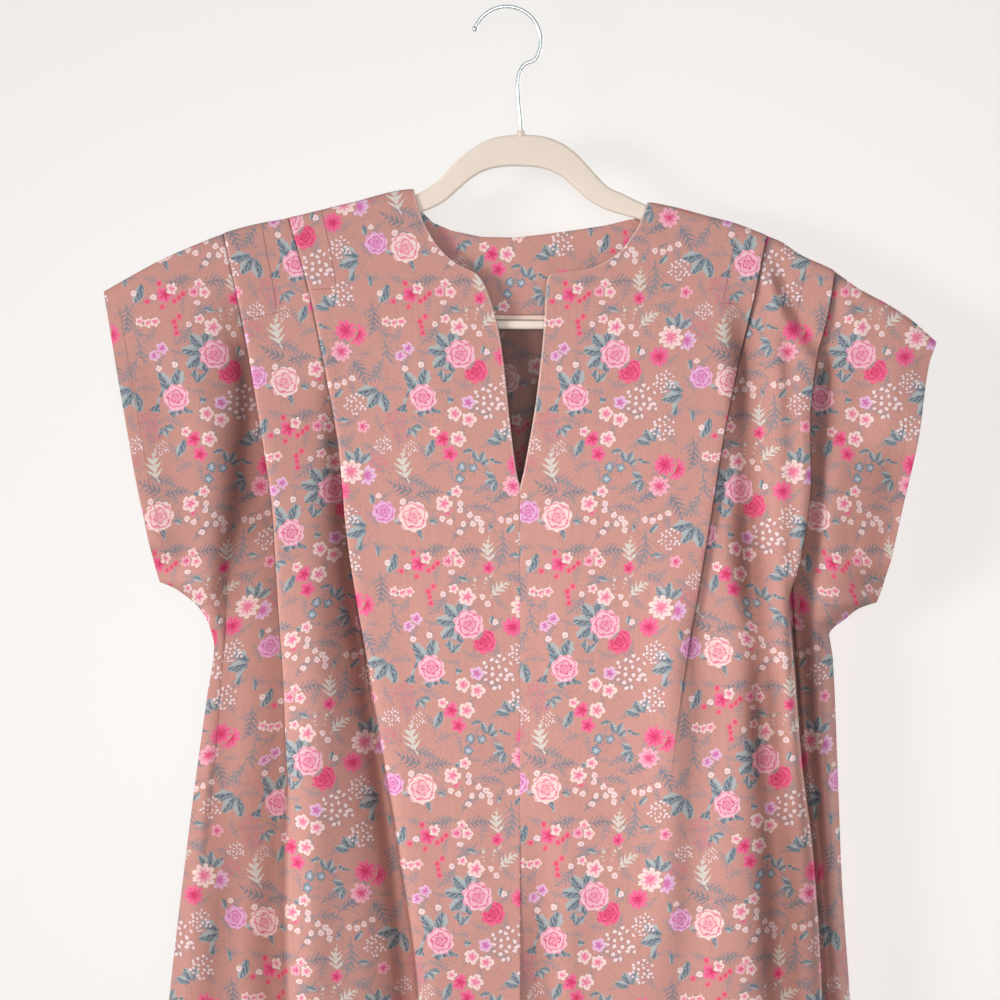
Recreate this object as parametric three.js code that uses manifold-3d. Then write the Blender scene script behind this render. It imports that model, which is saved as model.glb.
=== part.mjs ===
import * as THREE from 'three';
import { mergeVertices } from 'three/addons/utils/BufferGeometryUtils.js';
import Module from 'manifold-3d';

// A house dress on a hanger, in millimetres, +Z up. The dress's front faces -Y and the hanger lies in the XZ plane.
// The origin is the point inside the top of the hook where the hanger bears on what carries it.
// A drop is a distance straight down from the origin, and a fall is a distance down from the shoulder seam.

// Cloth and seams
const CLOTH = 1.1;
const SEAM_HALF_GAP = 0.15;
const SEAM_STAND = 0.7;
const CENTRE_SEAM_X = 10.3;

// Heights of the dress
const LEVEL_DROP = 520;
const HEM_DROP = 1235;

// How each side of the dress stands off the hanger's plane
const FRONT_DRAPE = { sign: -1, armClear: 4.6, armRound: 2.3, belly: 27, reach: 430, sideRound: 26 };
const BACK_DRAPE = { sign: 1, armClear: 6.4, armRound: 2.5, belly: 17, reach: 460, sideRound: 30 };
const SLEEVE_CLOSING = 34;

// The shoulder seam from sleeve tip to sleeve tip, carried straight over the neck: across, drop
const SHOULDER_SEAM = [
  [-295, 208], [-279, 199], [-253, 185], [-233, 176], [-207, 165.5], [-185, 159], [-159, 154], [-114, 143],
  [-68, 133], [104, 142.5], [123, 146], [149, 153], [168, 158], [191, 167], [202, 171.5], [216, 181],
  [240, 192.5], [259, 206], [281, 218], [299, 230], [316, 245],
];

// The back neck edge: across, drop
const BACK_NECK = [
  [-68, 133], [-67.1, 137.4], [-64, 147], [-54, 157], [-40, 163], [-18, 167.5], [6, 168], [29, 165.5], [51, 162.5],
  [74, 159], [94, 154], [101, 149.5], [103.2, 146], [104, 142.5],
];

// Lines that run down the wearer's right front: drop, across
const RIGHT_LINES = {
  centre: [
    [133, -68], [146, -65], [159, -60], [177, -49], [189, -35], [193, -26.5], [197, -20], [214, -12],
    [247, -4], [309, 3], [343, 7.6], [355, 10.3], [HEM_DROP, 10.3],
  ],
  innerFold: [
    [154, -159], [213, -143], [272, -131], [323, -122], [384, -116], [420, -111], [508, -98], [611, -81],
    [728, -66], [HEM_DROP, -49],
  ],
  outerFold: [
    [166, -207], [246, -190], [310, -179], [369, -170], [445, -165], [504, -161], [625, -157], [728, -154],
    [HEM_DROP, -151],
  ],
  underarmFold: [
    [169, -213], [246, -197], [302, -188], [347, -191], [406, -200], [450, -205], [550, -212], [728, -232],
    [HEM_DROP, -279],
  ],
  edge: [
    [208, -295], [235, -290], [310, -276], [343, -270], [389, -260], [421, -254], [424.5, -245], [429, -238],
    [437, -228], [446, -221], [455, -217], [468, -214], [504, -219], [592, -231], [727, -247],
    [HEM_DROP, -297],
  ],
};

// Lines that run down the wearer's left front: drop, across
const LEFT_LINES = {
  centre: [
    [143, 104], [159, 98], [170, 91], [179, 84], [186, 74], [192, 61], [194, 47], [195.5, 33.5],
    [199, 30.5], [236, 28], [287, 22.5], [340, 13.4], [355, 10.3], [HEM_DROP, 10.3],
  ],
  innerFold: [
    [167, 191], [220, 180], [279, 166], [325, 157], [380, 148], [437, 138], [508, 126], [596, 116],
    [728, 110], [HEM_DROP, 106],
  ],
  outerFold: [
    [193, 241], [224, 236], [265, 226], [309, 222], [345, 222], [399, 215], [429, 209], [475, 212],
    [551, 218], [614, 226], [722, 233], [HEM_DROP, 250],
  ],
  underarmFold: [
    [197, 248], [240, 242], [290, 232], [343, 228], [399, 223], [437, 225], [475, 226], [551, 231],
    [614, 236], [722, 243], [HEM_DROP, 266],
  ],
  edge: [
    [245, 316], [261, 310], [320, 300], [362, 290], [409, 279], [436, 272], [438, 265], [441, 258],
    [449, 248], [454, 241], [460, 237], [474, 239.5], [551, 243], [642, 246.5], [722, 252],
    [HEM_DROP, 284],
  ],
};

// A pleat down its length. At row 0 it is on the shoulder, at 1 on the level drop and at 2 on the hem.
// Overlap is how far the cloth folds back under the edge, rise is how far the edge stands forward,
// and open runs from 0, a flat fold, to 1, a soft wave.
const RIGHT_INNER_PLEAT = [
  { row: 0, overlap: 15, rise: 3.8, open: 0 },
  { row: 0.2, overlap: 15, rise: 4, open: 0 },
  { row: 0.45, overlap: 13, rise: 6, open: 0 },
  { row: 0.65, overlap: 8, rise: 7, open: 0 },
  { row: 0.78, overlap: 3, rise: 7, open: 0.3 },
  { row: 1, overlap: 0, rise: 7, open: 1 },
  { row: 2, overlap: 0, rise: 9, open: 1 },
];
const RIGHT_OUTER_PLEAT = [
  { row: 0, overlap: 15, rise: 3.8, open: 0 },
  { row: 0.2, overlap: 15, rise: 4.2, open: 0 },
  { row: 0.5, overlap: 14, rise: 7, open: 0 },
  { row: 0.8, overlap: 12, rise: 9, open: 0 },
  { row: 1, overlap: 8, rise: 9, open: 0 },
  { row: 1.1, overlap: 3, rise: 9, open: 0.4 },
  { row: 1.25, overlap: 0, rise: 9, open: 1 },
  { row: 2, overlap: 0, rise: 10, open: 1 },
];
const LEFT_INNER_PLEAT = [
  { row: 0, overlap: 15, rise: 3.8, open: 0 },
  { row: 0.2, overlap: 15, rise: 4, open: 0 },
  { row: 0.5, overlap: 14, rise: 7, open: 0 },
  { row: 0.75, overlap: 8, rise: 8, open: 0 },
  { row: 0.86, overlap: 3, rise: 8, open: 0.3 },
  { row: 1.04, overlap: 0, rise: 8, open: 1 },
  { row: 2, overlap: 0, rise: 9, open: 1 },
];
const LEFT_OUTER_PLEAT = [
  { row: 0, overlap: 15, rise: 3.8, open: 0 },
  { row: 0.2, overlap: 15, rise: 4.4, open: 0 },
  { row: 0.5, overlap: 12, rise: 8, open: 0 },
  { row: 0.66, overlap: 7, rise: 10, open: 0 },
  { row: 0.76, overlap: 2, rise: 12, open: 0.6 },
  { row: 0.86, overlap: 0, rise: 12, open: 1 },
  { row: 2, overlap: 0, rise: 10, open: 1 },
];

// The section of an open pleat, from its ridge to its trough: distance past the fold edge, share of the rise
const SOFT_WAVE = { past: [-16, -6, 2, 10, 17, 24], height: [1, 0.97, 0.8, 0.45, 0.1, 0] };
const DEEP_TROUGH = { past: [-17, -9, -4, -1, 1, 3.5], height: [1, 0.95, 0.7, 0.35, 0.1, 0] };

// How far the fold below the underarm lies behind the cloth round it, or in front of it: row, stand
const RIGHT_UNDERARM_STAND = [[0, 0], [0.3, 0], [0.5, -3.5], [0.8, -4], [1, -1], [1.3, 1.5], [2, 2]];
const LEFT_UNDERARM_STAND = [[0, 0], [0.3, 0], [0.5, -2], [0.7, -2], [0.86, 5], [1.3, 6], [2, 4]];

// Where the columns of a panel lie between two of its lines, as shares of the way
const CENTRE_SHARES = [0, 0.22, 0.46, 0.7, 0.88];
const BACK_SHARES = [0.17, 0.34, 0.5, 0.66, 0.83, 1];
const SLEEVE_SHARES = [0.16, 0.38, 0.62, 0.82, 0.94, 1];
const CENTRE_STAND = 1;

// Soft folds that fall down the back, fanning out to the hem
const BACK_FOLDS = [
  { across: -168, width: 24, stand: 6, from: 330 },
  { across: -96, width: 30, stand: 4, from: 420 },
  { across: -20, width: 34, stand: 3, from: 300 },
  { across: 62, width: 30, stand: 5, from: 380 },
  { across: 128, width: 28, stand: 4, from: 470 },
  { across: 190, width: 22, stand: 6, from: 340 },
];
const FOLD_GROWTH = 320;
const FOLD_FAN = 0.3;
const SLEEVE_SWELL = 2;

// The back neck facing's lower edge, point for point with the back neck edge: across, drop
const FACING_LOWER_EDGE = [
  [-128, 166], [-127, 172], [-122, 184], [-106, 203], [-80, 219], [-38, 227], [6, 228], [40, 228], [74, 225],
  [104, 216], [134, 202], [152, 188], [158, 178], [160, 172],
];
const FACING_BELOW_SEAM = 13;
const FACING_GAP = 0.6;
const FACING_ROWS = 4;

// Hanger
const HANGER = { thick: 6, edgeRound: 1.4, belowSeam: 3.8, armDeep: 14, barTop: 229, barBottom: 235.5 };
const HANGER_LEFT_END = -208;
const HANGER_RIGHT_END = 229;
const HANGER_NECK_TOP = [
  [-69, 137.5], [-57, 131.5], [-49, 126], [-42, 118], [-34, 110], [-25, 103], [-14, 96.7], [-3, 93.6],
  [12, 92.6], [27, 93.7], [38, 97.3], [49, 104], [59, 114], [68, 124], [76, 131.5], [86, 136], [97, 141.5],
];
const HANGER_NECK_UNDER = [
  [-64, 150], [-47, 143], [-36, 134], [-25, 124.5], [-14, 118.5], [-1, 116], [12, 115.8], [26, 117], [39, 122],
  [49, 130], [60, 140], [72, 147], [86, 151.5], [98, 155],
];
const WIRE = 3.4;
const HOOK_CENTRE = { across: 0.5, drop: 23.3 };
const HOOK_RADIUS = 25;
const HOOK_TIP_ANGLE = 160;
const HOOK_TURN_ANGLE = -34;
const HOOK_STEM = [[13.5, 41], [9.6, 47.5], [8.6, 56], [9.4, 70], [10.6, 84], [11, 90]];
const TIP_BALL = 4.8;
const COLLAR = { across: 11, diameter: 7.4, top: 88.6, bottom: 92.3 };

// Colours
const COLOURS = { cloth: 0xb88476, facing: 0xb07c6e, hanger: 0xe9dcc6, wire: 0xc4cdd2 };

const lerp = (a, b, share) => a + (b - a) * share;
const clamp01 = (value) => Math.min(1, Math.max(0, value));
const easeInOut = (value) => clamp01(value) ** 2 * (3 - 2 * clamp01(value));
const point = (across, forward, drop) => new THREE.Vector3(across, forward, -drop);

// A smooth curve through the rows of a table that never swings past them.
function curveThrough(rows) {
  const at = rows.map((row) => row[0]);
  const value = rows.map((row) => row[1]);
  const slope = at.slice(1).map((end, i) => (value[i + 1] - value[i]) / (end - at[i]));
  const tangent = at.map((_, i) => {
    if (i === 0) return slope[0];
    if (i === at.length - 1) return slope[i - 1];
    const [before, after] = [slope[i - 1], slope[i]];
    return before * after <= 0 ? 0 : (2 * before * after) / (before + after);
  });
  return (where) => {
    if (where <= at[0]) return value[0] + tangent[0] * (where - at[0]);
    if (where >= at.at(-1)) return value.at(-1);
    const i = at.findIndex((end, k) => k > 0 && where <= end) - 1;
    const span = at[i + 1] - at[i];
    const t = (where - at[i]) / span;
    return (2 * t ** 3 - 3 * t ** 2 + 1) * value[i] + (t ** 3 - 2 * t ** 2 + t) * span * tangent[i]
      + (3 * t ** 2 - 2 * t ** 3) * value[i + 1] + (t ** 3 - t ** 2) * span * tangent[i + 1];
  };
}

const tableColumn = (rows, name) => curveThrough(rows.map((row) => [row.row, row[name]]));
const shoulderDrop = curveThrough(SHOULDER_SEAM);
const backNeckDrop = curveThrough(BACK_NECK);

// Drop of a row on a line that starts at a given drop.
function rowDrop(top, row) {
  return row < 1 ? lerp(top, LEVEL_DROP, row) : lerp(LEVEL_DROP, HEM_DROP, row - 1);
}

// Rows of a panel: each stretch between two key rows is cut into a number of steps.
function rowsThrough(keys, steps) {
  const rows = [keys[0]];
  steps.forEach((count, i) => {
    for (let step = 1; step <= count; step += 1) rows.push(lerp(keys[i], keys[i + 1], step / count));
  });
  return rows;
}

// Facts about one side of the dress: its lines as curves and the drops where its sleeve ends.
function sideOf(lines, sleeveCorner, underarm) {
  const curves = Object.fromEntries(Object.entries(lines).map(([name, rows]) => [name, curveThrough(rows)]));
  const top = Object.fromEntries(Object.entries(lines).map(([name, rows]) => [name, rows[0][0]]));
  const rowOf = (name, drop) => (drop - top[name]) / (LEVEL_DROP - top[name]);
  return { curves, top, rowOf, sleeveCorner, underarm };
}
const RIGHT_SIDE = sideOf(RIGHT_LINES, 421, 468);
const LEFT_SIDE = sideOf(LEFT_LINES, 436, 460);

// How far the cloth stands off the hanger's plane at a place on one side of the dress.
function standOff(drape, side, across, drop) {
  const fall = Math.max(0, drop - shoulderDrop(across));
  const overArm = (drape.armClear - SEAM_STAND) * (1 - Math.exp(-fall / drape.armRound));
  const belly = drape.belly * easeInOut(fall / drape.reach) ** 0.8;
  const inset = Math.abs(side.curves.edge(drop) - across);
  const closed = easeInOut(1 - (side.sleeveCorner - drop) / SLEEVE_CLOSING);
  const sideShare = lerp(1, 1 - Math.exp(-inset / drape.sideRound), closed);
  return SEAM_STAND + (overArm + belly) * sideShare;
}

// The six places of a pleat's section at a row, from its edge back to where the next strip starts.
function pleatSection(pleat, wave, foldX, outward, row) {
  const overlap = pleat.overlap(row);
  const layer = pleat.rise(row) / 2;
  const open = clamp01(pleat.open(row));
  const flatPast = [-layer / 2, 0, -layer / 2, layer / 2 - overlap, -overlap, layer / 2 - overlap];
  const flatHeight = [2, 1.5, 1, 1, 0.5, 0];
  return flatPast.map((past, i) => ({
    x: foldX + outward * lerp(past, wave.past[i], open),
    stand: lerp(flatHeight[i] * layer, wave.height[i] * 2 * layer, open),
  }));
}

// One row of a front panel: places from the centre edge out to the side.
function frontRow(front, row) {
  const { side, outward } = front;
  const line = {};
  Object.keys(side.curves).forEach((name) => {
    const drop = rowDrop(side.top[name], row);
    line[name] = { x: side.curves[name](drop), drop };
  });
  const seamLimit = CENTRE_SEAM_X + outward * SEAM_HALF_GAP;
  line.centre.x = outward < 0 ? Math.min(line.centre.x, seamLimit) : Math.max(line.centre.x, seamLimit);
  const inner = pleatSection(front.innerPleat, front.innerWave, line.innerFold.x, outward, row);
  const outer = pleatSection(front.outerPleat, front.outerWave, line.outerFold.x, outward, row);
  const between = (from, to, share) => ({
    x: lerp(from.x, to.x, share),
    stand: lerp(from.stand, to.stand, share ** 1.5),
  });
  const centre = { x: line.centre.x, stand: CENTRE_STAND };
  const pastInner = {
    x: line.innerFold.x + outward * lerp(4, front.innerWave.past.at(-1) + 8, clamp01(front.innerPleat.open(row))),
    stand: 0,
  };
  const underarm = { x: line.underarmFold.x, stand: front.underarmStand(row) };
  const sleeve = SLEEVE_SHARES.map((share) => ({
    x: lerp(underarm.x, line.edge.x, share),
    stand: underarm.stand * (1 - share) ** 2 + SLEEVE_SWELL * Math.sin(Math.PI * share),
  }));
  const places = [
    ...CENTRE_SHARES.map((share) => between(centre, inner[0], share)),
    ...inner, pastInner, between(pastInner, outer[0], 0.5), ...outer, underarm, ...sleeve,
  ];
  const tops = front.tops ?? places.map((place) => shoulderDrop(place.x));
  front.tops = tops;
  tops[0] = side.top.centre;
  tops[tops.length - 1] = side.top.edge;
  return places.map((place, column) => {
    const drop = rowDrop(tops[column], row);
    const stand = standOff(FRONT_DRAPE, side, place.x, drop) + place.stand * standShare(side, place.x, drop);
    return point(place.x, FRONT_DRAPE.sign * stand, drop);
  });
}

// Folds die away towards a side seam, so that the panels meet there.
function standShare(side, across, drop) {
  const inset = Math.abs(side.curves.edge(drop) - across);
  const closed = easeInOut(1 - (side.sleeveCorner - drop) / SLEEVE_CLOSING);
  return lerp(1, clamp01(inset / 12), closed);
}

// How far the back's soft folds stand out at a place.
function backFoldStand(across, drop) {
  return BACK_FOLDS.reduce((stand, fold) => {
    const grown = easeInOut((drop - fold.from) / FOLD_GROWTH);
    const ridge = CENTRE_SEAM_X + (fold.across - CENTRE_SEAM_X) * (1 + (FOLD_FAN * (drop - fold.from)) / HEM_DROP);
    return stand + fold.stand * grown * Math.exp(-(((across - ridge) / fold.width) ** 2));
  }, 0);
}

// One row of the back, from the wearer's right side to the left side.
function backRow(row) {
  const shares = [...SLEEVE_SHARES].reverse();
  const neckXs = BACK_NECK.map((place) => place[0]);
  const halfRow = (side, neckX) => {
    const underarmX = side.curves.underarmFold(rowDrop(side.top.underarmFold, row));
    const edgeX = side.curves.edge(rowDrop(side.top.edge, row));
    const outer = shares.map((share) => ({ x: lerp(underarmX, edgeX, share), side }));
    const inner = [...BACK_SHARES].reverse().map((share) => ({ x: lerp(neckX, underarmX, share), side }));
    return [...outer, ...inner];
  };
  const places = [
    ...halfRow(RIGHT_SIDE, neckXs[0]),
    ...neckXs.map((x) => ({ x, neck: true, side: x < CENTRE_SEAM_X ? RIGHT_SIDE : LEFT_SIDE })),
    ...halfRow(LEFT_SIDE, neckXs.at(-1)).reverse(),
  ];
  backRow.tops = backRow.tops ?? places.map(({ x, neck }) => (neck ? backNeckDrop(x) : shoulderDrop(x)));
  return places.map(({ x, side }, column) => {
    const drop = rowDrop(backRow.tops[column], row);
    const stand = standOff(BACK_DRAPE, side, x, drop) + backFoldStand(x, drop) * standShare(side, x, drop);
    return point(x, BACK_DRAPE.sign * stand, drop);
  });
}

// A closed wall of even thickness on a grid of points, offset along the grid's own normals.
function wallOn(grid, thickness) {
  const rows = grid.length;
  const columns = grid[0].length;
  const unit = (from, to) => to.clone().sub(from).normalize();
  const faces = [[], []];
  grid.forEach((gridRow, r) => gridRow.forEach((place, c) => {
    const before = c > 0 ? unit(gridRow[c - 1], place) : unit(place, gridRow[c + 1]);
    const after = c < columns - 1 ? unit(place, gridRow[c + 1]) : before;
    const along = before.clone().add(after).normalize();
    const down = unit(grid[Math.max(0, r - 1)][c], grid[Math.min(rows - 1, r + 1)][c]);
    const mitre = 1 / Math.max(0.66, Math.sqrt((1 + before.dot(after)) / 2));
    const normal = along.cross(down).normalize().multiplyScalar((thickness / 2) * mitre);
    faces[0].push(place.clone().add(normal));
    faces[1].push(place.clone().sub(normal));
  }));
  const index = [];
  const back = rows * columns;
  const quad = (a, b, c, d) => index.push(a, b, c, a, c, d);
  for (let r = 0; r < rows - 1; r += 1) {
    for (let c = 0; c < columns - 1; c += 1) {
      const a = r * columns + c;
      quad(a, a + columns, a + columns + 1, a + 1);
      quad(back + a, back + a + 1, back + a + columns + 1, back + a + columns);
    }
  }
  for (let c = 0; c < columns - 1; c += 1) {
    const low = (rows - 1) * columns + c;
    quad(c, c + 1, back + c + 1, back + c);
    quad(low, back + low, back + low + 1, low + 1);
  }
  for (let r = 0; r < rows - 1; r += 1) {
    const left = r * columns;
    const right = left + columns - 1;
    quad(left, back + left, back + left + columns, left + columns);
    quad(right, right + columns, back + right + columns, back + right);
  }
  return solidFrom([...faces[0], ...faces[1]], index);
}

// A geometry from points and triangles, turned so that its faces point out.
function solidFrom(points, index) {
  let volume = 0;
  for (let i = 0; i < index.length; i += 3) {
    const [a, b, c] = [points[index[i]], points[index[i + 1]], points[index[i + 2]]];
    volume += a.dot(b.clone().cross(c));
  }
  const turned = volume < 0 ? index.map((_, i) => index[i - (i % 3) + 2 - (i % 3)]) : index;
  const geometry = new THREE.BufferGeometry();
  geometry.setAttribute('position', new THREE.Float32BufferAttribute(points.flatMap((p) => p.toArray()), 3));
  geometry.setIndex(turned);
  return geometry;
}

// A front panel from shoulder to hem.
function frontPanel(front) {
  const { side } = front;
  const neckCorner = side.rowOf('centre', front.neckCornerDrop);
  const slitEnd = side.rowOf('centre', 355);
  const sleeveCorner = side.rowOf('edge', side.sleeveCorner);
  const underarm = side.rowOf('edge', side.underarm);
  const keys = [0, 0.005, 0.02, neckCorner * 0.85, neckCorner * 1.04, slitEnd, sleeveCorner, underarm, 1, 2];
  const rows = rowsThrough(keys, [1, 2, 4, 3, 7, 2, 5, 2, 8]);
  return wallOn(rows.map((row) => frontRow(front, row)), CLOTH);
}

function backPanel() {
  const corners = [RIGHT_SIDE, LEFT_SIDE].map((side) => side.rowOf('edge', side.sleeveCorner));
  const underarms = [LEFT_SIDE, RIGHT_SIDE].map((side) => side.rowOf('edge', side.underarm));
  const rows = rowsThrough([0, 0.006, 0.02, ...corners, ...underarms, 1, 2], [1, 1, 8, 1, 3, 2, 2, 7]);
  return wallOn(rows.map(backRow), CLOTH);
}

// The facing lies inside the back, one cloth and a small gap from it.
function backNeckFacing() {
  const inward = CLOTH + FACING_GAP;
  const grid = [];
  for (let k = 0; k <= FACING_ROWS; k += 1) {
    grid.push(BACK_NECK.map(([neckX, neckDrop], i) => {
      const [lowX, lowDrop] = FACING_LOWER_EDGE[i];
      const x = lerp(neckX, lowX, k / FACING_ROWS);
      const drop = Math.max(lerp(neckDrop, lowDrop, k / FACING_ROWS), shoulderDrop(x) + FACING_BELOW_SEAM);
      const side = x < CENTRE_SEAM_X ? RIGHT_SIDE : LEFT_SIDE;
      return point(x, standOff(BACK_DRAPE, side, x, drop) - inward, drop);
    }));
  }
  return wallOn(grid, CLOTH);
}

function pleatCurves(table) {
  return Object.fromEntries(['overlap', 'rise', 'open'].map((name) => [name, tableColumn(table, name)]));
}

// The hanger's body: two arched arms, rounded ends and a bar, one flat frame.
function hangerBody() {
  const { belowSeam, armDeep, barTop, barBottom, thick, edgeRound } = HANGER;
  const armXs = (from, to, count) => Array.from({ length: count }, (_, i) => lerp(from, to, i / (count - 1)));
  const onArm = (offset) => (x) => [x, shoulderDrop(x) + belowSeam + offset];
  const [leftEnd, rightEnd] = [HANGER_LEFT_END, HANGER_RIGHT_END];
  const outer = [
    [leftEnd + 11, barBottom], [leftEnd + 5, barBottom - 3], [leftEnd + 1, barBottom - 14],
    [leftEnd, shoulderDrop(leftEnd) + 16], [leftEnd + 1.5, shoulderDrop(leftEnd) + 8],
    ...armXs(leftEnd + 6, -82, 7).map(onArm(0)), ...HANGER_NECK_TOP, ...armXs(112, rightEnd - 6, 7).map(onArm(0)),
    [rightEnd - 1.5, shoulderDrop(rightEnd) + 8], [rightEnd, shoulderDrop(rightEnd) + 16],
    [rightEnd - 1, barBottom - 12], [rightEnd - 5, barBottom - 3], [rightEnd - 11, barBottom],
  ];
  const hole = [
    [leftEnd + 15, barTop], [leftEnd + 11, barTop - 4],
    ...armXs(leftEnd + 14, -80, 6).map(onArm(armDeep)), ...HANGER_NECK_UNDER,
    ...armXs(112, rightEnd - 14, 6).map(onArm(armDeep)),
    [rightEnd - 11, barTop - 4], [rightEnd - 15, barTop],
  ];
  const flat = ([x, drop]) => new THREE.Vector2(x, -drop);
  const shape = new THREE.Shape(outer.map(flat));
  shape.holes.push(new THREE.Path(hole.reverse().map(flat)));
  const geometry = new THREE.ExtrudeGeometry(shape, {
    depth: thick - 2 * edgeRound,
    bevelThickness: edgeRound,
    bevelSize: edgeRound,
    bevelOffset: -edgeRound,
    bevelSegments: 1,
    curveSegments: 1,
  });
  geometry.translate(0, 0, -(thick / 2 - edgeRound));
  geometry.rotateX(Math.PI / 2);
  return geometry;
}

// The hook: a wire with a ball at its tip and a collar on its foot.
function hangerHook(wasm) {
  const arc = [];
  for (let angle = HOOK_TIP_ANGLE; angle >= HOOK_TURN_ANGLE; angle -= 16) {
    const turn = THREE.MathUtils.degToRad(angle);
    arc.push(point(
      HOOK_CENTRE.across + HOOK_RADIUS * Math.cos(turn), 0, HOOK_CENTRE.drop - HOOK_RADIUS * Math.sin(turn),
    ));
  }
  const route = new THREE.CatmullRomCurve3([...arc, ...HOOK_STEM.map(([across, drop]) => point(across, 0, drop))]);
  const section = new THREE.Shape(Array.from({ length: 10 }, (_, i) => {
    const turn = (i / 10) * 2 * Math.PI;
    return new THREE.Vector2((WIRE / 2) * Math.cos(turn), (WIRE / 2) * Math.sin(turn));
  }));
  const wire = new THREE.ExtrudeGeometry(section, { steps: 42, extrudePath: route, curveSegments: 1 });
  const ball = new THREE.SphereGeometry(TIP_BALL / 2, 12, 8).translate(arc[0].x, arc[0].y, arc[0].z);
  const collarHigh = COLLAR.bottom - COLLAR.top;
  const collar = new THREE.CylinderGeometry(COLLAR.diameter / 2, COLLAR.diameter / 2, collarHigh, 16)
    .rotateX(Math.PI / 2)
    .translate(COLLAR.across, 0, -(COLLAR.top + collarHigh / 2));
  const solid = [wire, ball, collar].map((geometry) => manifoldOf(wasm, geometry)).reduce((a, b) => a.add(b));
  const mesh = solid.getMesh();
  const geometry = new THREE.BufferGeometry();
  geometry.setAttribute('position', new THREE.Float32BufferAttribute(mesh.vertProperties, 3));
  geometry.setIndex([...mesh.triVerts]);
  return geometry;
}

function manifoldOf(wasm, geometry) {
  const bare = geometry.clone();
  bare.deleteAttribute('normal');
  bare.deleteAttribute('uv');
  const merged = mergeVertices(bare, 1e-4);
  return new wasm.Manifold(new wasm.Mesh({
    numProp: 3,
    vertProperties: new Float32Array(merged.attributes.position.array),
    triVerts: new Uint32Array(merged.index.array),
  }));
}

const wasm = await Module();
wasm.setup();

const FRONT_RIGHT = {
  side: RIGHT_SIDE,
  outward: -1,
  neckCornerDrop: 193,
  innerPleat: pleatCurves(RIGHT_INNER_PLEAT),
  outerPleat: pleatCurves(RIGHT_OUTER_PLEAT),
  innerWave: SOFT_WAVE,
  outerWave: SOFT_WAVE,
  underarmStand: curveThrough(RIGHT_UNDERARM_STAND),
};
const FRONT_LEFT = {
  side: LEFT_SIDE,
  outward: 1,
  neckCornerDrop: 195.5,
  innerPleat: pleatCurves(LEFT_INNER_PLEAT),
  outerPleat: pleatCurves(LEFT_OUTER_PLEAT),
  innerWave: SOFT_WAVE,
  outerWave: DEEP_TROUGH,
  underarmStand: curveThrough(LEFT_UNDERARM_STAND),
};

const group = new THREE.Group();
function addPiece(name, geometry, colour, roughness, metalness) {
  const mesh = new THREE.Mesh(geometry, new THREE.MeshStandardMaterial({ color: colour, roughness, metalness }));
  mesh.name = name;
  group.add(mesh);
}
addPiece('front_right', frontPanel(FRONT_RIGHT), COLOURS.cloth, 0.85, 0);
addPiece('front_left', frontPanel(FRONT_LEFT), COLOURS.cloth, 0.85, 0);
addPiece('back', backPanel(), COLOURS.cloth, 0.85, 0);
addPiece('back_neck_facing', backNeckFacing(), COLOURS.facing, 0.85, 0);
addPiece('hanger_body', hangerBody(), COLOURS.hanger, 0.95, 0);
addPiece('hanger_hook', hangerHook(wasm), COLOURS.wire, 0.25, 1);

export default group;
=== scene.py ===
"""A printed cotton house dress on a flocked hanger, dressed for a close view."""

import logging
import math
from dataclasses import dataclass, field
from enum import Enum
from typing import Sequence

import bmesh
import bpy
import numpy as np
from mathutils import Matrix, Vector
from mathutils.bvhtree import BVHTree


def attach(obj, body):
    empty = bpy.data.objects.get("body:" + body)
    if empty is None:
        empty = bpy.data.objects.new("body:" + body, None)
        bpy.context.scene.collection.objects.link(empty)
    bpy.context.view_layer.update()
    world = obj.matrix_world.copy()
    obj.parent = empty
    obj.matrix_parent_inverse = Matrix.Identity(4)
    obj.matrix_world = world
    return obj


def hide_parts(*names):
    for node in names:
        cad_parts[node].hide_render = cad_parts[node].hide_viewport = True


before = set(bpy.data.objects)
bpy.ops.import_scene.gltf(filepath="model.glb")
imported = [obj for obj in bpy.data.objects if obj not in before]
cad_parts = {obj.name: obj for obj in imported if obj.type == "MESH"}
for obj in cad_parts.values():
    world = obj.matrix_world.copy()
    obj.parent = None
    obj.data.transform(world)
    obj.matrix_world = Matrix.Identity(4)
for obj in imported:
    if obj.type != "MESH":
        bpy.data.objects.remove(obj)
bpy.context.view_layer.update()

Array = np.ndarray
Colour = tuple[float, float, float]
Place = tuple[float, float]

log = logging.getLogger("dress")

MM = 0.001
BODY = "root"
STUDIO_SHARE = 0.9

# Heights and seams of the dress, in millimetres. A drop is a distance down from the hook's bearing point.
CENTRE_SEAM_X = 10.3
LEVEL_DROP = 520.0
HEM_DROP = 1235.0
SLIT_END_DROP = 355.0
SEAM_HALF_GAP = 0.22
SEAM_STAND = 0.7
SLEEVE_CLOSING = 34.0
PRINT_TOP = 353.5
CLOTH = 0.8

PHOTO_WIDTH = 1000
MM_PER_METRE = 1000.0
TURN = 2 * math.pi
BEYOND = 400.0  # a depth in front of or behind all of the cloth


class Side(Enum):
    """The two sides of the dress, with the direction that leads outward along X."""

    RIGHT = -1
    LEFT = 1


class Facing(Enum):
    """Which way a cloth's right side looks, as the sign of Y."""

    FORWARD = -1
    BACKWARD = 1


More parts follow.
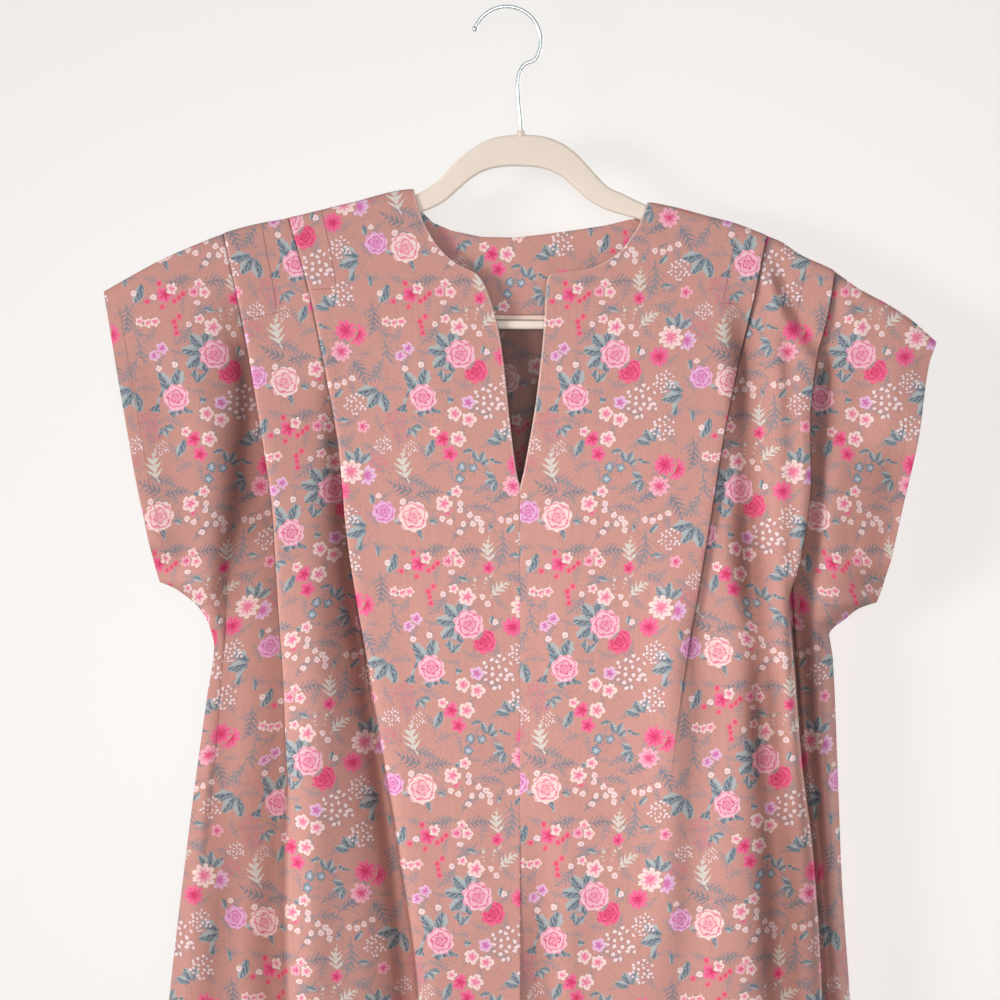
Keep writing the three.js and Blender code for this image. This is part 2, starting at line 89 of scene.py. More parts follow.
class SmoothCurve:
    """A smooth curve through the rows of a table that never swings past them."""

    def __init__(self, rows: Sequence[Place]) -> None:
        """Fits the curve.

        Args:
            rows: pairs of where and value, in rising order of where.
        """
        self.at = np.array([row[0] for row in rows], float)
        self.value = np.array([row[1] for row in rows], float)
        slope = np.diff(self.value) / np.diff(self.at)
        before, after = slope[:-1], slope[1:]
        same_way = before * after > 0
        total = np.where(same_way, before + after, 1.0)
        inner = np.where(same_way, 2 * before * after / total, 0.0)
        self.tangent = np.concatenate([slope[:1], inner, slope[-1:]])

    def __call__(self, where: Array | float) -> Array:
        """Reads the curve.

        Args:
            where: one place or an array of them.

        Returns:
            The value at each place.
        """
        where = np.asarray(where, float)
        held = np.clip(where, self.at[0], self.at[-1])
        i = np.clip(np.searchsorted(self.at, held, side="left") - 1, 0, len(self.at) - 2)
        span = self.at[i + 1] - self.at[i]
        t = (held - self.at[i]) / span
        smooth = (
            (2 * t**3 - 3 * t**2 + 1) * self.value[i]
            + (t**3 - 2 * t**2 + t) * span * self.tangent[i]
            + (3 * t**2 - 2 * t**3) * self.value[i + 1]
            + (t**3 - t**2) * span * self.tangent[i + 1]
        )
        return smooth + np.minimum(0, where - self.at[0]) * self.tangent[0]


def lerp(start: Array | float, end: Array | float, share: Array | float) -> Array:
    """The place a share of the way from start to end."""
    return start + (end - start) * share


def ease(value: Array | float) -> Array:
    """A soft step from 0 to 1."""
    held = np.clip(value, 0, 1)
    return held**2 * (3 - 2 * held)


# The shoulder seam from sleeve tip to sleeve tip, carried straight over the neck: across, drop
SHOULDER_SEAM = SmoothCurve([
    (-295, 208), (-279, 199), (-253, 185), (-233, 176), (-207, 165.5), (-185, 159), (-159, 154), (-114, 143),
    (-68, 133), (104, 142.5), (123, 146), (149, 153), (168, 158), (191, 167), (202, 171.5), (216, 181),
    (240, 192.5), (259, 206), (281, 218), (299, 230), (316, 245),
])

# The back neck edge: across, drop
BACK_NECK = [
    (-68, 133), (-67.1, 137.4), (-64, 147), (-54, 157), (-40, 163), (-18, 167.5), (6, 168), (29, 165.5),
    (51, 162.5), (74, 159), (94, 154), (101, 149.5), (103.2, 146), (104, 142.5),
]


@dataclass(frozen=True)
class Drape:
    """How one face of the dress stands off the hanger's plane, in millimetres."""

    facing: Facing
    arm_clear: float
    arm_round: float
    belly: float
    reach: float
    side_round: float


FRONT_DRAPE = Drape(Facing.FORWARD, arm_clear=4.6, arm_round=2.3, belly=27, reach=430, side_round=26)
BACK_DRAPE = Drape(Facing.BACKWARD, arm_clear=6.4, arm_round=2.5, belly=17, reach=460, side_round=30)


@dataclass(frozen=True)
class Crease:
    """A soft ridge, or a trough where its stand is negative, along a bowed line on the cloth.

    Start and end are (across, drop). Bow is how far the middle of the line lies to the +X side.
    """

    start: Place
    end: Place
    width: float
    stand: float
    bow: float = 0.0

    def stand_at(self, across: Array, drop: Array) -> Array:
        """How far the crease moves the cloth outward.

        Args:
            across: X of each point of the cloth.
            drop: drop of each point.

        Returns:
            The move at each point, in millimetres.
        """
        (x0, d0), (x1, d1) = self.start, self.end
        length = math.hypot(x1 - x0, d1 - d0)
        along = ((across - x0) * (x1 - x0) + (drop - d0) * (d1 - d0)) / length**2
        beside = ((across - x0) * (d1 - d0) - (drop - d0) * (x1 - x0)) / length
        beside = beside - self.bow * 4 * np.clip(along, 0, 1) * (1 - np.clip(along, 0, 1))
        fade = ease(along / 0.28 + 0.5) * ease((1 - along) / 0.28 + 0.5)
        return self.stand * fade * np.exp(-((beside / self.width) ** 2))


@dataclass(frozen=True)
class Trough:
    """A hollow beside a fold's edge, in the cloth that lies behind the fold and outward of it.

    Places are rows of drop, across and depth. The widths are how fast the hollow fades to each side.
    """

    after: float
    places: tuple[tuple[float, float, float], ...]
    inward: float
    outward: float

    def depth_at(self, across: Array, drop: Array, ways: Array, outward: int) -> Array:
        """How far the hollow moves the cloth inward.

        Args:
            across: X of each point of the cloth.
            drop: drop of each point.
            ways: how far each column lies along the places of its section.
            outward: the direction that leads outward along X.

        Returns:
            The move at each point, in millimetres.
        """
        line = SmoothCurve([(at, x) for at, x, _ in self.places])
        depth = SmoothCurve([(at, deep) for at, _, deep in self.places])
        beside = outward * (across - line(drop))
        width = np.where(beside < 0, self.inward, self.outward)
        ends = ease((drop - self.places[0][0]) / 12 + 0.5)
        return depth(drop) * ends * np.exp(-((beside / width) ** 2)) * ease((ways - self.after) / 0.8)[None, :]


@dataclass(frozen=True)
class SideLines:
    """The lines that run down one side of the dress: tables of drop and across."""

    side: Side
    sleeve_corner: float
    underarm: float
    centre: SmoothCurve
    inner_fold: SmoothCurve
    outer_fold: SmoothCurve
    underarm_fold: SmoothCurve
    edge: SmoothCurve

    def row_of(self, line: SmoothCurve, drop: float) -> float:
        """The row at which a line reaches a drop above the level drop."""
        return float((drop - line.at[0]) / (LEVEL_DROP - line.at[0]))

    def closed(self, drop: Array) -> Array:
        """How far the outer edge is sewn shut at a drop: 0 along the sleeve hem, 1 along the side seam."""
        return ease(1 - (self.sleeve_corner - drop) / SLEEVE_CLOSING)

    def stand_off(self, drape: Drape, across: Array, drop: Array) -> Array:
        """How far the cloth stands off the hanger's plane.

        Args:
            drape: the face's drape.
            across: X of each point.
            drop: drop of each point.

        Returns:
            The distance at each point, in millimetres.
        """
        fall = np.maximum(0, drop - SHOULDER_SEAM(across))
        over_arm = (drape.arm_clear - SEAM_STAND) * (1 - np.exp(-fall / drape.arm_round))
        belly = drape.belly * ease(fall / drape.reach) ** 0.8
        inset = np.abs(self.edge(drop) - across)
        share = lerp(1, 1 - np.exp(-inset / drape.side_round), self.closed(drop))
        return SEAM_STAND + (over_arm + belly) * share

    def fold_share(self, across: Array, drop: Array) -> Array:
        """Folds die away towards a side seam, so that the panels meet there."""
        inset = np.abs(self.edge(drop) - across)
        return lerp(1, np.clip(inset / FOLDS_DIE, 0, 1), self.closed(drop))


RIGHT_LINES = SideLines(
    side=Side.RIGHT,
    sleeve_corner=421,
    underarm=468,
    centre=SmoothCurve([
        (133, -68), (146, -65), (159, -60), (177, -49), (189, -35), (193, -26.5), (197, -20), (214, -12),
        (247, -4), (309, 3), (343, 7.6), (355, 10.3), (HEM_DROP, 10.3),
    ]),
    inner_fold=SmoothCurve([
        (154, -159), (213, -143), (272, -131), (323, -122), (384, -116), (420, -111), (508, -98),
        (611, -81), (728, -66), (HEM_DROP, -49),
    ]),
    outer_fold=SmoothCurve([
        (166, -207), (246, -190), (310, -179), (369, -170), (445, -165), (504, -161), (625, -157),
        (728, -154), (HEM_DROP, -151),
    ]),
    underarm_fold=SmoothCurve([
        (169, -213), (246, -197), (302, -188), (347, -191), (406, -200), (450, -205), (550, -212),
        (728, -232), (HEM_DROP, -279),
    ]),
    edge=SmoothCurve([
        (208, -295), (235, -290), (310, -276), (343, -270), (389, -260), (421, -254), (424.5, -245),
        (429, -238), (437, -228), (446, -221), (455, -217), (468, -214), (504, -219), (592, -231),
        (727, -247), (HEM_DROP, -297),
    ]),
)

LEFT_LINES = SideLines(
    side=Side.LEFT,
    sleeve_corner=436,
    underarm=460,
    centre=SmoothCurve([
        (143, 104), (159, 98), (170, 91), (179, 84), (186, 74), (192, 61), (194, 47), (195.5, 33.5),
        (199, 30.5), (236, 28), (287, 22.5), (340, 13.4), (355, 10.3), (HEM_DROP, 10.3),
    ]),
    inner_fold=SmoothCurve([
        (167, 191), (220, 180), (279, 166), (325, 157), (380, 148), (437, 138), (508, 126), (596, 116),
        (728, 110), (HEM_DROP, 106),
    ]),
    outer_fold=SmoothCurve([
        (193, 241), (224, 236), (265, 226), (309, 222), (345, 222), (399, 215), (429, 209), (475, 212),
        (551, 218), (614, 226), (722, 233), (HEM_DROP, 250),
    ]),
    underarm_fold=SmoothCurve([
        (197, 248), (240, 242), (290, 232), (343, 228), (399, 223), (437, 225), (475, 226), (551, 231),
        (614, 236), (722, 243), (HEM_DROP, 266),
    ]),
    edge=SmoothCurve([
        (245, 316), (261, 310), (320, 300), (362, 290), (409, 279), (436, 272), (438, 265), (441, 258),
        (449, 248), (454, 241), (460, 237), (474, 239.5), (551, 243), (642, 246.5), (722, 252),
        (HEM_DROP, 284),
    ]),
)


def row_drop(top: Array | float, row: Array | float) -> Array:
    """The drop of a row on a line that starts at a given drop."""
    upper = lerp(top, LEVEL_DROP, row)
    lower = lerp(LEVEL_DROP, HEM_DROP, row - 1)
    return np.where(row < 1, upper, lower)


def stepped(keys: Sequence[float], steps: Sequence[int]) -> Array:
    """Cuts each stretch between two keys into a number of even steps.

    Args:
        keys: the ends of the stretches, in rising order.
        steps: how many steps each stretch takes.

    Returns:
        All the values from the first key to the last.
    """
    parts = [np.linspace(a, b, n, endpoint=False) for a, b, n in zip(keys, keys[1:], steps)]
    return np.concatenate([*parts, [keys[-1]]])


@dataclass(frozen=True)
class OpenSection:
    """The section of an open pleat, from ridge to trough: millimetres past the fold edge, share of the rise."""

    past: tuple[float, ...]
    height: tuple[float, ...]


SOFT_WAVE = OpenSection((-16, -6, 2, 10, 17, 24), (1, 0.97, 0.8, 0.45, 0.1, 0))
DEEP_TROUGH = OpenSection((-17, -9, -4, -1, 1, 3.5), (1, 0.95, 0.7, 0.35, 0.1, 0))


class Pleat:
    """A pleat down its length, from a flat fold on the shoulder to a soft wave below."""

    def __init__(self, stations: Sequence[tuple[float, float, float, float]], section: OpenSection) -> None:
        """Reads the pleat's stations.

        Args:
            stations: rows of row, overlap, rise and open.
            section: the section that the pleat opens to.
        """
        columns = list(zip(*stations))
        self.overlap, self.rise, self.open = (
            SmoothCurve(list(zip(columns[0], column))) for column in columns[1:]
        )
        self.section = section

    def places(self, fold_x: Array, outward: int, rows: Array) -> tuple[Array, Array]:
        """The six places of the section at each row, from the edge back to where the next strip starts.

        Args:
            fold_x: X of the fold edge at each row.
            outward: the direction that leads outward along X.
            rows: the rows.

        Returns:
            X and stand of the places, a row of six for each row.
        """
        overlap = self.overlap(rows)[:, None]
        layer = self.rise(rows)[:, None] / 2
        opened = np.clip(self.open(rows), 0, 1)[:, None]
        past = np.concatenate(
            [-layer / 2, 0 * layer, -layer / 2, layer / 2 - overlap, -overlap, layer / 2 - overlap], axis=1
        )
        height = np.array([2, 1.5, 1, 1, 0.5, 0])[None, :] * layer
        past = lerp(past, np.array(self.section.past)[None, :], opened)
        height = lerp(height, np.array(self.section.height)[None, :] * 2 * layer, opened)
        return fold_x[:, None] + outward * past, height


RIGHT_INNER_PLEAT = Pleat([
    (0, 15, 3.8, 0), (0.2, 15, 4, 0), (0.45, 13, 6, 0), (0.65, 9, 7, 0), (0.78, 6, 7, 0.1), (1, 3, 7, 0.6),
    (1.2, 0, 7, 1), (2, 0, 6, 1),
], DEEP_TROUGH)
RIGHT_OUTER_PLEAT = Pleat([
    (0, 15, 3.8, 0), (0.2, 15, 4.2, 0), (0.5, 14, 7, 0), (0.8, 12, 9, 0), (1, 8, 9, 0), (1.1, 3, 9, 0.4),
    (1.25, 0, 9, 1), (2, 0, 10, 1),
], SOFT_WAVE)
LEFT_INNER_PLEAT = Pleat([
    (0, 15, 3.8, 0), (0.2, 15, 4, 0), (0.5, 13, 5, 0), (0.75, 8, 4.4, 0), (0.86, 3, 4, 0.3), (1.04, 0, 4, 1),
    (2, 0, 5, 1),
], SOFT_WAVE)
LEFT_OUTER_PLEAT = Pleat([
    (0, 15, 3.8, 0), (0.2, 15, 4.4, 0), (0.5, 12, 8, 0), (0.66, 7, 10, 0), (0.76, 2, 12, 0.6),
    (0.86, 0, 12, 1), (2, 0, 10, 1),
], DEEP_TROUGH)


def smooth_section(x: Array, stand: Array, steps: Sequence[int]) -> tuple[Array, Array, Array]:
    """Rounds each row's section with a centripetal spline through its places.

    Args:
        x: X of the places, a row for each section.
        stand: stand of the places.
        steps: how many steps each stretch between two places takes.

    Returns:
        X and stand of the finer places, and the share of the way through the places at each.
    """
    points = np.stack([x, stand], axis=2)
    first = 2 * points[:, :1] - points[:, 1:2]
    last = 2 * points[:, -1:] - points[:, -2:-1]
    padded = np.concatenate([first, points, last], axis=1)
    gaps = np.maximum(np.linalg.norm(np.diff(padded, axis=1), axis=2), 1e-3) ** 0.5
    knots = np.concatenate([np.zeros((len(x), 1)), np.cumsum(gaps, axis=1)], axis=1)[:, :, None]
    out, ways = [], []
    for k, count in enumerate(steps):
        p = [padded[:, k + i] for i in range(4)]
        t = [knots[:, k + i] for i in range(4)]
        last_stretch = k == len(steps) - 1
        for step in range(count + (1 if last_stretch else 0)):
            at = lerp(t[1], t[2], step / count)
            a = [((t[i + 1] - at) * p[i] + (at - t[i]) * p[i + 1]) / (t[i + 1] - t[i]) for i in range(3)]
            b = [((t[i + 2] - at) * a[i] + (at - t[i]) * a[i + 1]) / (t[i + 2] - t[i]) for i in range(2)]
            out.append(((t[2] - at) * b[0] + (at - t[1]) * b[1]) / (t[2] - t[1]))
            ways.append(k + step / count)
    fine = np.stack(out, axis=1)
    return fine[:, :, 0], fine[:, :, 1], np.array(ways)


class Surface:
    """The face of a piece of cloth, to lay stitches on."""

    usual_stand: float = 15.0

    def __init__(self, points: Array) -> None:
        """Keeps the face as triangles.

        Args:
            points: the piece's points in millimetres, row by row.
        """
        rows, columns = points.shape[:2]
        corner = (np.arange(rows - 1)[:, None] * columns + np.arange(columns - 1)[None, :]).ravel()
        after, below, across = corner + 1, corner + columns, corner + columns + 1
        triangles = np.concatenate([np.stack([corner, after, across], 1), np.stack([corner, across, below], 1)])
        self.tree = BVHTree.FromPolygons(points.reshape(-1, 3).tolist(), triangles.tolist())

    def at(self, across: float, drop: float, facing: Facing) -> tuple[Vector, Vector]:
        """Finds the cloth at a place.

        Args:
            across: X of the place.
            drop: its drop.
            facing: the side that it is seen from.

        Returns:
            The point of the cloth and its outward normal.
        """
        way = Vector((0, -facing.value, 0))
        point, normal, _, _ = self.tree.ray_cast(Vector((across, BEYOND * facing.value, -drop)), way)
        if point is None:
            beside = Vector((across, self.usual_stand * facing.value, -drop))
            point, normal, _, _ = self.tree.find_nearest(beside)
        return point, normal if normal.dot(way) < 0 else -normal


@dataclass
class ClothPiece:
    """A sewn piece of cloth: a grid of points with the cloth's own coordinates."""

    name: str
    node: str
    slot: str
    flat: Place
    area: float
    facing: Facing
    rests_on: str
    thickness: float = CLOTH

    def grid(self) -> tuple[Array, Array]:
        """The points in millimetres and the cloth coordinates in metres, row by row."""
        raise NotImplementedError

    def marks(self, points: Array) -> dict[str, Array]:
        """What the finish has to know at each point: how far past the folds, how hollow, how far from the edge."""
        shape = (*points.shape[:2], 2)
        return {"folds": np.ones(shape), "hollow": np.zeros(shape) + (0, 1)}

    def build(self, finishes: Sequence[bpy.types.Material]) -> None:
        """Makes the piece from a grid and gives it a thickness.

        Args:
            finishes: the materials of the right side and the wrong side.
        """
        points, cloth = self.grid()
        rows, columns = points.shape[:2]
        mesh = bpy.data.meshes.new(self.name)
        shape = bmesh.new()
        bmesh.ops.create_grid(shape, x_segments=columns - 1, y_segments=rows - 1, size=0.5)
        place = {}
        for vertex in shape.verts:
            column = round((vertex.co.x + 0.5) * (columns - 1))
            row = round((0.5 - vertex.co.y) * (rows - 1))
            place[vertex] = (row, column)
            vertex.co = points[row, column] * MM
        for name, values in {"print": cloth, **self.marks(points)}.items():
            layer = shape.loops.layers.uv.new(name)
            for face in shape.faces:
                for loop in face.loops:
                    loop[layer].uv = values[place[loop.vert]]
        for face in shape.faces:
            face.smooth = True
        shape.normal_update()
        if sum(face.normal.y * face.calc_area() for face in shape.faces) * self.facing.value < 0:
            bmesh.ops.reverse_faces(shape, faces=shape.faces[:])
        shape.to_mesh(mesh)
        shape.free()
        piece = bpy.data.objects.new(self.name, mesh)
        bpy.context.scene.collection.objects.link(piece)
        for finish in finishes:
            mesh.materials.append(finish)
        wall = piece.modifiers.new("cloth", "SOLIDIFY")
        wall.thickness = self.thickness * MM
        wall.offset = 0
        wall.material_offset = len(finishes) - 1
        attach(piece, BODY)
        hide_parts(self.node)
        log.info("%s: %d by %d points", self.name, rows, columns)
        self.piece, self.surface = piece, Surface(points)

    def sewn(self, sewing: Sequence[bpy.types.Object]) -> None:
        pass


CENTRE_SHARES = np.array([0, 0.22, 0.46, 0.7, 0.88])
SLEEVE_SHARES = np.array([0.16, 0.38, 0.62, 0.82, 0.94, 1])
CENTRE_STAND = 1.0
SLEEVE_SWELL = 2.0
SLEEVE_FLARE = 10.0
# the depth of a hollow at which its painted shade is full
HOLLOW_DEEP = 9.0
FOLDS_DIE = 12.0
ARM_COVER = 4.2  # the least stand that keeps the cloth in front of the hanger
BELOW_BAR = -3.0  # the least stand below the hanger's bar
BAR_FOOT = 238.0
BAR_FADE = 24.0


@dataclass
class FrontPanel(ClothPiece):
    """One front of the dress with its cap sleeve and two pleats."""

    lines: SideLines = RIGHT_LINES
    neck_corner: float = 193
    inner_pleat: Pleat = RIGHT_INNER_PLEAT
    outer_pleat: Pleat = RIGHT_OUTER_PLEAT
    underarm_stand: SmoothCurve = field(default_factory=lambda: SmoothCurve([(0, 0), (2, 0)]))
    creases: Sequence[Crease] = ()
    troughs: Sequence[Trough] = ()
    print_shift: Place = (0, 0)
    print_lean: float = 0.0
    row_steps: tuple[int, ...] = (3, 3, 12, 10, 34, 8, 16, 8, 62)
    centre_steps: tuple[int, ...] = (7, 7, 7, 7, 5)
    inner_steps: tuple[int, ...] = (3, 3, 3, 3, 3, 3, 8, 8)
    outer_steps: tuple[int, ...] = (3, 3, 3, 3, 3, 3)
    sleeve_steps: tuple[int, ...] = (4, 4, 4, 4, 4, 4)

    def rows(self) -> Array:
        """The rows of the panel, closer together where its outline turns.

        Returns:
            The rows, from 0 at the shoulder seam through 1 at the level drop to 2 at the hem.
        """
        lines = self.lines
        neck = lines.row_of(lines.centre, self.neck_corner)
        slit = lines.row_of(lines.centre, SLIT_END_DROP)
        corner = lines.row_of(lines.edge, lines.sleeve_corner)
        underarm = lines.row_of(lines.edge, lines.underarm)
        keys = [0, 0.006, 0.02, neck * 0.85, neck * 1.04, slit, corner, underarm, 1, 2]
        return stepped(keys, self.row_steps)

    def grid(self) -> tuple[Array, Array]:
        """Lays the panel through its lines, section by section.

        Returns:
            The points in millimetres and the cloth coordinates in metres, row by row.
        """
        lines, outward, rows = self.lines, self.lines.side.value, self.rows()
        names = ("centre", "inner_fold", "outer_fold", "underarm_fold", "edge")
        curves = {name: getattr(lines, name) for name in names}
        x = {name: curve(row_drop(curve.at[0], rows)) for name, curve in curves.items()}
        limit = CENTRE_SEAM_X + outward * SEAM_HALF_GAP
        x["centre"] = outward * np.maximum(outward * x["centre"], outward * limit)
        inner_x, inner_stand = self.inner_pleat.places(x["inner_fold"], outward, rows)
        outer_x, outer_stand = self.outer_pleat.places(x["outer_fold"], outward, rows)
        past = lerp(4, self.inner_pleat.section.past[-1] + 8, np.clip(self.inner_pleat.open(rows), 0, 1))
        past_x = (x["inner_fold"] + outward * past)[:, None]
        middle_x = lerp(past_x, outer_x[:, :1], 0.5)
        middle_stand = outer_stand[:, :1] * 0.5**1.5
        centre_x = lerp(x["centre"][:, None], inner_x[:, :1], CENTRE_SHARES[None, :])
        centre_stand = lerp(CENTRE_STAND, inner_stand[:, :1], CENTRE_SHARES[None, :] ** 1.5)
        under_stand = self.underarm_stand(rows)[:, None]
        sleeve_x = lerp(x["underarm_fold"][:, None], x["edge"][:, None], SLEEVE_SHARES[None, :])
        sleeve_stand = under_stand * (1 - SLEEVE_SHARES[None, :]) ** 2
        sleeve_stand = sleeve_stand + SLEEVE_SWELL * np.sin(np.pi * SLEEVE_SHARES)[None, :]
        loose = 1 - lines.closed(row_drop(lines.edge.at[0], rows))
        flare = SLEEVE_FLARE * (loose * ease(rows / 0.25))[:, None]
        sleeve_stand = sleeve_stand + flare * SLEEVE_SHARES[None, :] ** 1.4
        coarse_x = np.concatenate([
            centre_x, inner_x, past_x, middle_x, outer_x, x["underarm_fold"][:, None], sleeve_x,
        ], axis=1)
        coarse_stand = np.concatenate([
            centre_stand, inner_stand, 0 * past_x, middle_stand, outer_stand, under_stand, sleeve_stand,
        ], axis=1)
        steps = self.centre_steps + self.inner_steps + self.outer_steps + self.sleeve_steps
        fine_x, fine_stand, ways = smooth_section(coarse_x, coarse_stand, steps)
        tops = SHOULDER_SEAM(fine_x[0])
        tops[0], tops[-1] = lines.centre.at[0], lines.edge.at[0]
        drop = row_drop(tops[None, :], rows[:, None])
        bent = [crease.stand_at(fine_x, drop) for crease in self.creases]
        sunk = [trough.depth_at(fine_x, drop, ways, outward) for trough in self.troughs]
        stand = fine_stand + sum(bent) - sum(sunk)
        # how hollow the cloth lies, which the finish darkens as painted shade
        self.hollow = np.clip((sum(sunk) - sum(np.minimum(part, 0) for part in bent)) / HOLLOW_DEEP, 0, 1)
        rest = lines.stand_off(FRONT_DRAPE, fine_x, drop)
        least = lerp(np.minimum(rest, ARM_COVER), BELOW_BAR, ease((drop - BAR_FOOT) / BAR_FADE))
        stand = np.maximum(rest + stand * lines.fold_share(fine_x, drop), least)
        fine_x, stand, fine_stand, drop = self.with_turned_edges(fine_x, stand, fine_stand, drop)
        points = np.stack([fine_x, self.facing.value * stand, -drop], axis=2)
        return points, self.cloth_coordinates(fine_x, fine_stand, drop)

    def with_turned_edges(self, x: Array, stand: Array, flat: Array, drop: Array) -> tuple[Array, ...]:
        """Turns the cloth in along the centre edge and the outer edge.

        Args:
            x: X of the points.
            stand: how far they stand off the hanger's plane.
            flat: how far they stand out in the section that the cloth's own coordinates follow.
            drop: drop of the points.

        Returns:
            The same four with the turned-in columns added at both ends.
        """
        outward = self.lines.side.value
        shut = self.lines.closed(drop[:, -1:])
        depth = lerp(1, np.clip((stand[:, -1:] - 0.45) / 2.4, 0, 1), shut)
        inner = [(0.12, 2.4), (0.0, 1.3), (-0.05, 0.55)]
        outer = [(0.05, 0.55), (0.0, 1.3), (-0.12, 2.4)]
        start_x = [x[:, :1] + outward * shift for shift, _ in inner]
        end_x = [x[:, -1:] + outward * shift for shift, _ in outer]
        start_stand = [stand[:, :1] - back for _, back in inner]
        end_stand = [stand[:, -1:] - back * depth for _, back in outer]
        start_flat = [flat[:, :1] - back for _, back in inner]
        end_flat = [flat[:, -1:] - back for _, back in outer]
        start_drop, end_drop = [drop[:, :1]] * 3, [drop[:, -1:]] * 3
        x, stand, flat, drop = (
            np.concatenate([
                part[:, :1], lerp(part[:, :1], part[:, 1:2], 0.2), part[:, 1:-1],
                lerp(part[:, -1:], part[:, -2:-1], 0.2), part[:, -1:],
            ], axis=1)
            for part in (x, stand, flat, drop)
        )
        joined = [
            np.concatenate([*start, middle, *end], axis=1)
            for start, middle, end in (
                (start_x, x, end_x), (start_stand, stand, end_stand), (start_flat, flat, end_flat),
                (start_drop, drop, end_drop),
            )
        ]
        return tuple(joined)

    def marks(self, points: Array) -> dict[str, Array]:
        """Measures each point against the folds, the hollows and the centre edge.

        Args:
            points: the points in millimetres, row by row.

        Returns:
            Metres past the two folds' edges, how hollow the cloth is, and metres from the centre edge.
        """
        rows, outward = self.rows(), self.lines.side.value
        past = [
            outward * (points[:, :, 0] - line(row_drop(line.at[0], rows))[:, None])
            for line in (self.lines.inner_fold, self.lines.outer_fold)
        ]
        hollow = np.pad(self.hollow, ((0, 0), (4, 4)), mode="edge")
        beside = outward * (points[:, :, 0] - points[:, 3:4, 0]) * MM
        return {"folds": np.stack(past, axis=2) * MM, "hollow": np.stack([hollow, beside], axis=2)}

    def cloth_coordinates(self, x: Array, stand: Array, drop: Array) -> Array:
        """Where each point lies on the flat cloth, measured across from the centre seam.

        Args:
            x: X of the points.
            stand: how far they stand out.
            drop: drop of the points.

        Returns:
            Across and up on the cloth, in metres.
        """
        step = np.hypot(np.diff(x, axis=1), np.diff(stand, axis=1))
        run = np.concatenate([np.zeros((len(x), 1)), np.cumsum(step, axis=1)], axis=1)
        across = x[:, :1] - CENTRE_SEAM_X + self.lines.side.value * run
        shift_x, shift_up = self.print_shift
        across = across + shift_x + self.print_lean * (drop - PRINT_TOP)
        return np.stack([across, PRINT_TOP + shift_up - drop], axis=2) * MM


@dataclass
class BackPanel(ClothPiece):
    """The back of the dress, in one with both cap sleeves."""

    creases: Sequence[Crease] = ()
    print_shift: Place = (31, 55)
    row_steps: tuple[int, ...] = (3, 3, 48, 2, 8, 5, 8, 60)
    neck_steps: tuple[int, ...] = (1, 2, 2, 3, 5, 5, 5, 5, 5, 5, 2, 2, 1)
    inner_columns: int = 40
    sleeve_columns: int = 30

    def rows(self) -> Array:
        """The rows of the panel, closer together where its outline turns, numbered as a front's."""
        corners = [lines.row_of(lines.edge, lines.sleeve_corner) for lines in (RIGHT_LINES, LEFT_LINES)]
        underarms = [lines.row_of(lines.edge, lines.underarm) for lines in (LEFT_LINES, RIGHT_LINES)]
        return stepped([0, 0.006, 0.02, *corners, *underarms, 1, 2], self.row_steps)

    def grid(self) -> tuple[Array, Array]:
        """Lays the back between the side lines, with its neck edge in the middle columns.

        Returns:
            The points in millimetres and the cloth coordinates in metres, row by row.
        """
        rows = self.rows()
        neck_at = np.array([place[0] for place in BACK_NECK], float)
        neck_way = stepped(range(len(neck_at)), self.neck_steps)
        neck_x = np.interp(neck_way, np.arange(len(neck_at)), neck_at)
        half = {}
        for lines, start in ((RIGHT_LINES, neck_at[0]), (LEFT_LINES, neck_at[-1])):
            under = lines.underarm_fold(row_drop(lines.underarm_fold.at[0], rows))[:, None]
            edge = lines.edge(row_drop(lines.edge.at[0], rows))[:, None]
            inner = np.linspace(0, 1, self.inner_columns)[1:]
            sleeve = 1 - (1 - np.linspace(0, 1, self.sleeve_columns)[1:]) ** 1.4
            half[lines.side] = np.concatenate([
                lerp(start, under, inner[None, :]), lerp(under, edge, sleeve[None, :]),
            ], axis=1)
        right, left = half[Side.RIGHT][:, ::-1], half[Side.LEFT]
        middle = np.repeat(neck_x[None, :], len(rows), axis=0)
        x = np.concatenate([right, middle, left], axis=1)
        tops = SHOULDER_SEAM(x[0])
        neck = slice(right.shape[1], right.shape[1] + len(neck_x))
        tops[neck] = SmoothCurve(BACK_NECK)(neck_x)
        drop = row_drop(tops[None, :], rows[:, None])
        bent = [crease.stand_at(x, drop) for crease in self.creases]
        fold = sum(bent)
        # how hollow the cloth lies, which the finish darkens as painted shade
        self.hollow = np.clip(-sum(np.minimum(part, 0) for part in bent) / HOLLOW_DEEP, 0, 1)
        on_right = x < CENTRE_SEAM_X
        stand = np.where(
            on_right,
            RIGHT_LINES.stand_off(BACK_DRAPE, x, drop) + fold * RIGHT_LINES.fold_share(x, drop),
            LEFT_LINES.stand_off(BACK_DRAPE, x, drop) + fold * LEFT_LINES.fold_share(x, drop),
        )
        points = np.stack([x, self.facing.value * stand, -drop], axis=2)
        shift_x, shift_up = self.print_shift
        return points, np.stack([x + shift_x, shift_up - drop], axis=2) * MM

    def marks(self, points: Array) -> dict[str, Array]:
        """No pressed folds, and how hollow the cloth is."""
        return {**super().marks(points), "hollow": np.stack([self.hollow, np.ones(self.hollow.shape)], axis=2)}


FACING_LOWER_EDGE = [
    (-128, 166), (-127, 172), (-122, 184), (-106, 203), (-80, 219), (-38, 227), (6, 228), (40, 228),
    (74, 225), (104, 216), (134, 202), (152, 188), (158, 178), (160, 172),
]


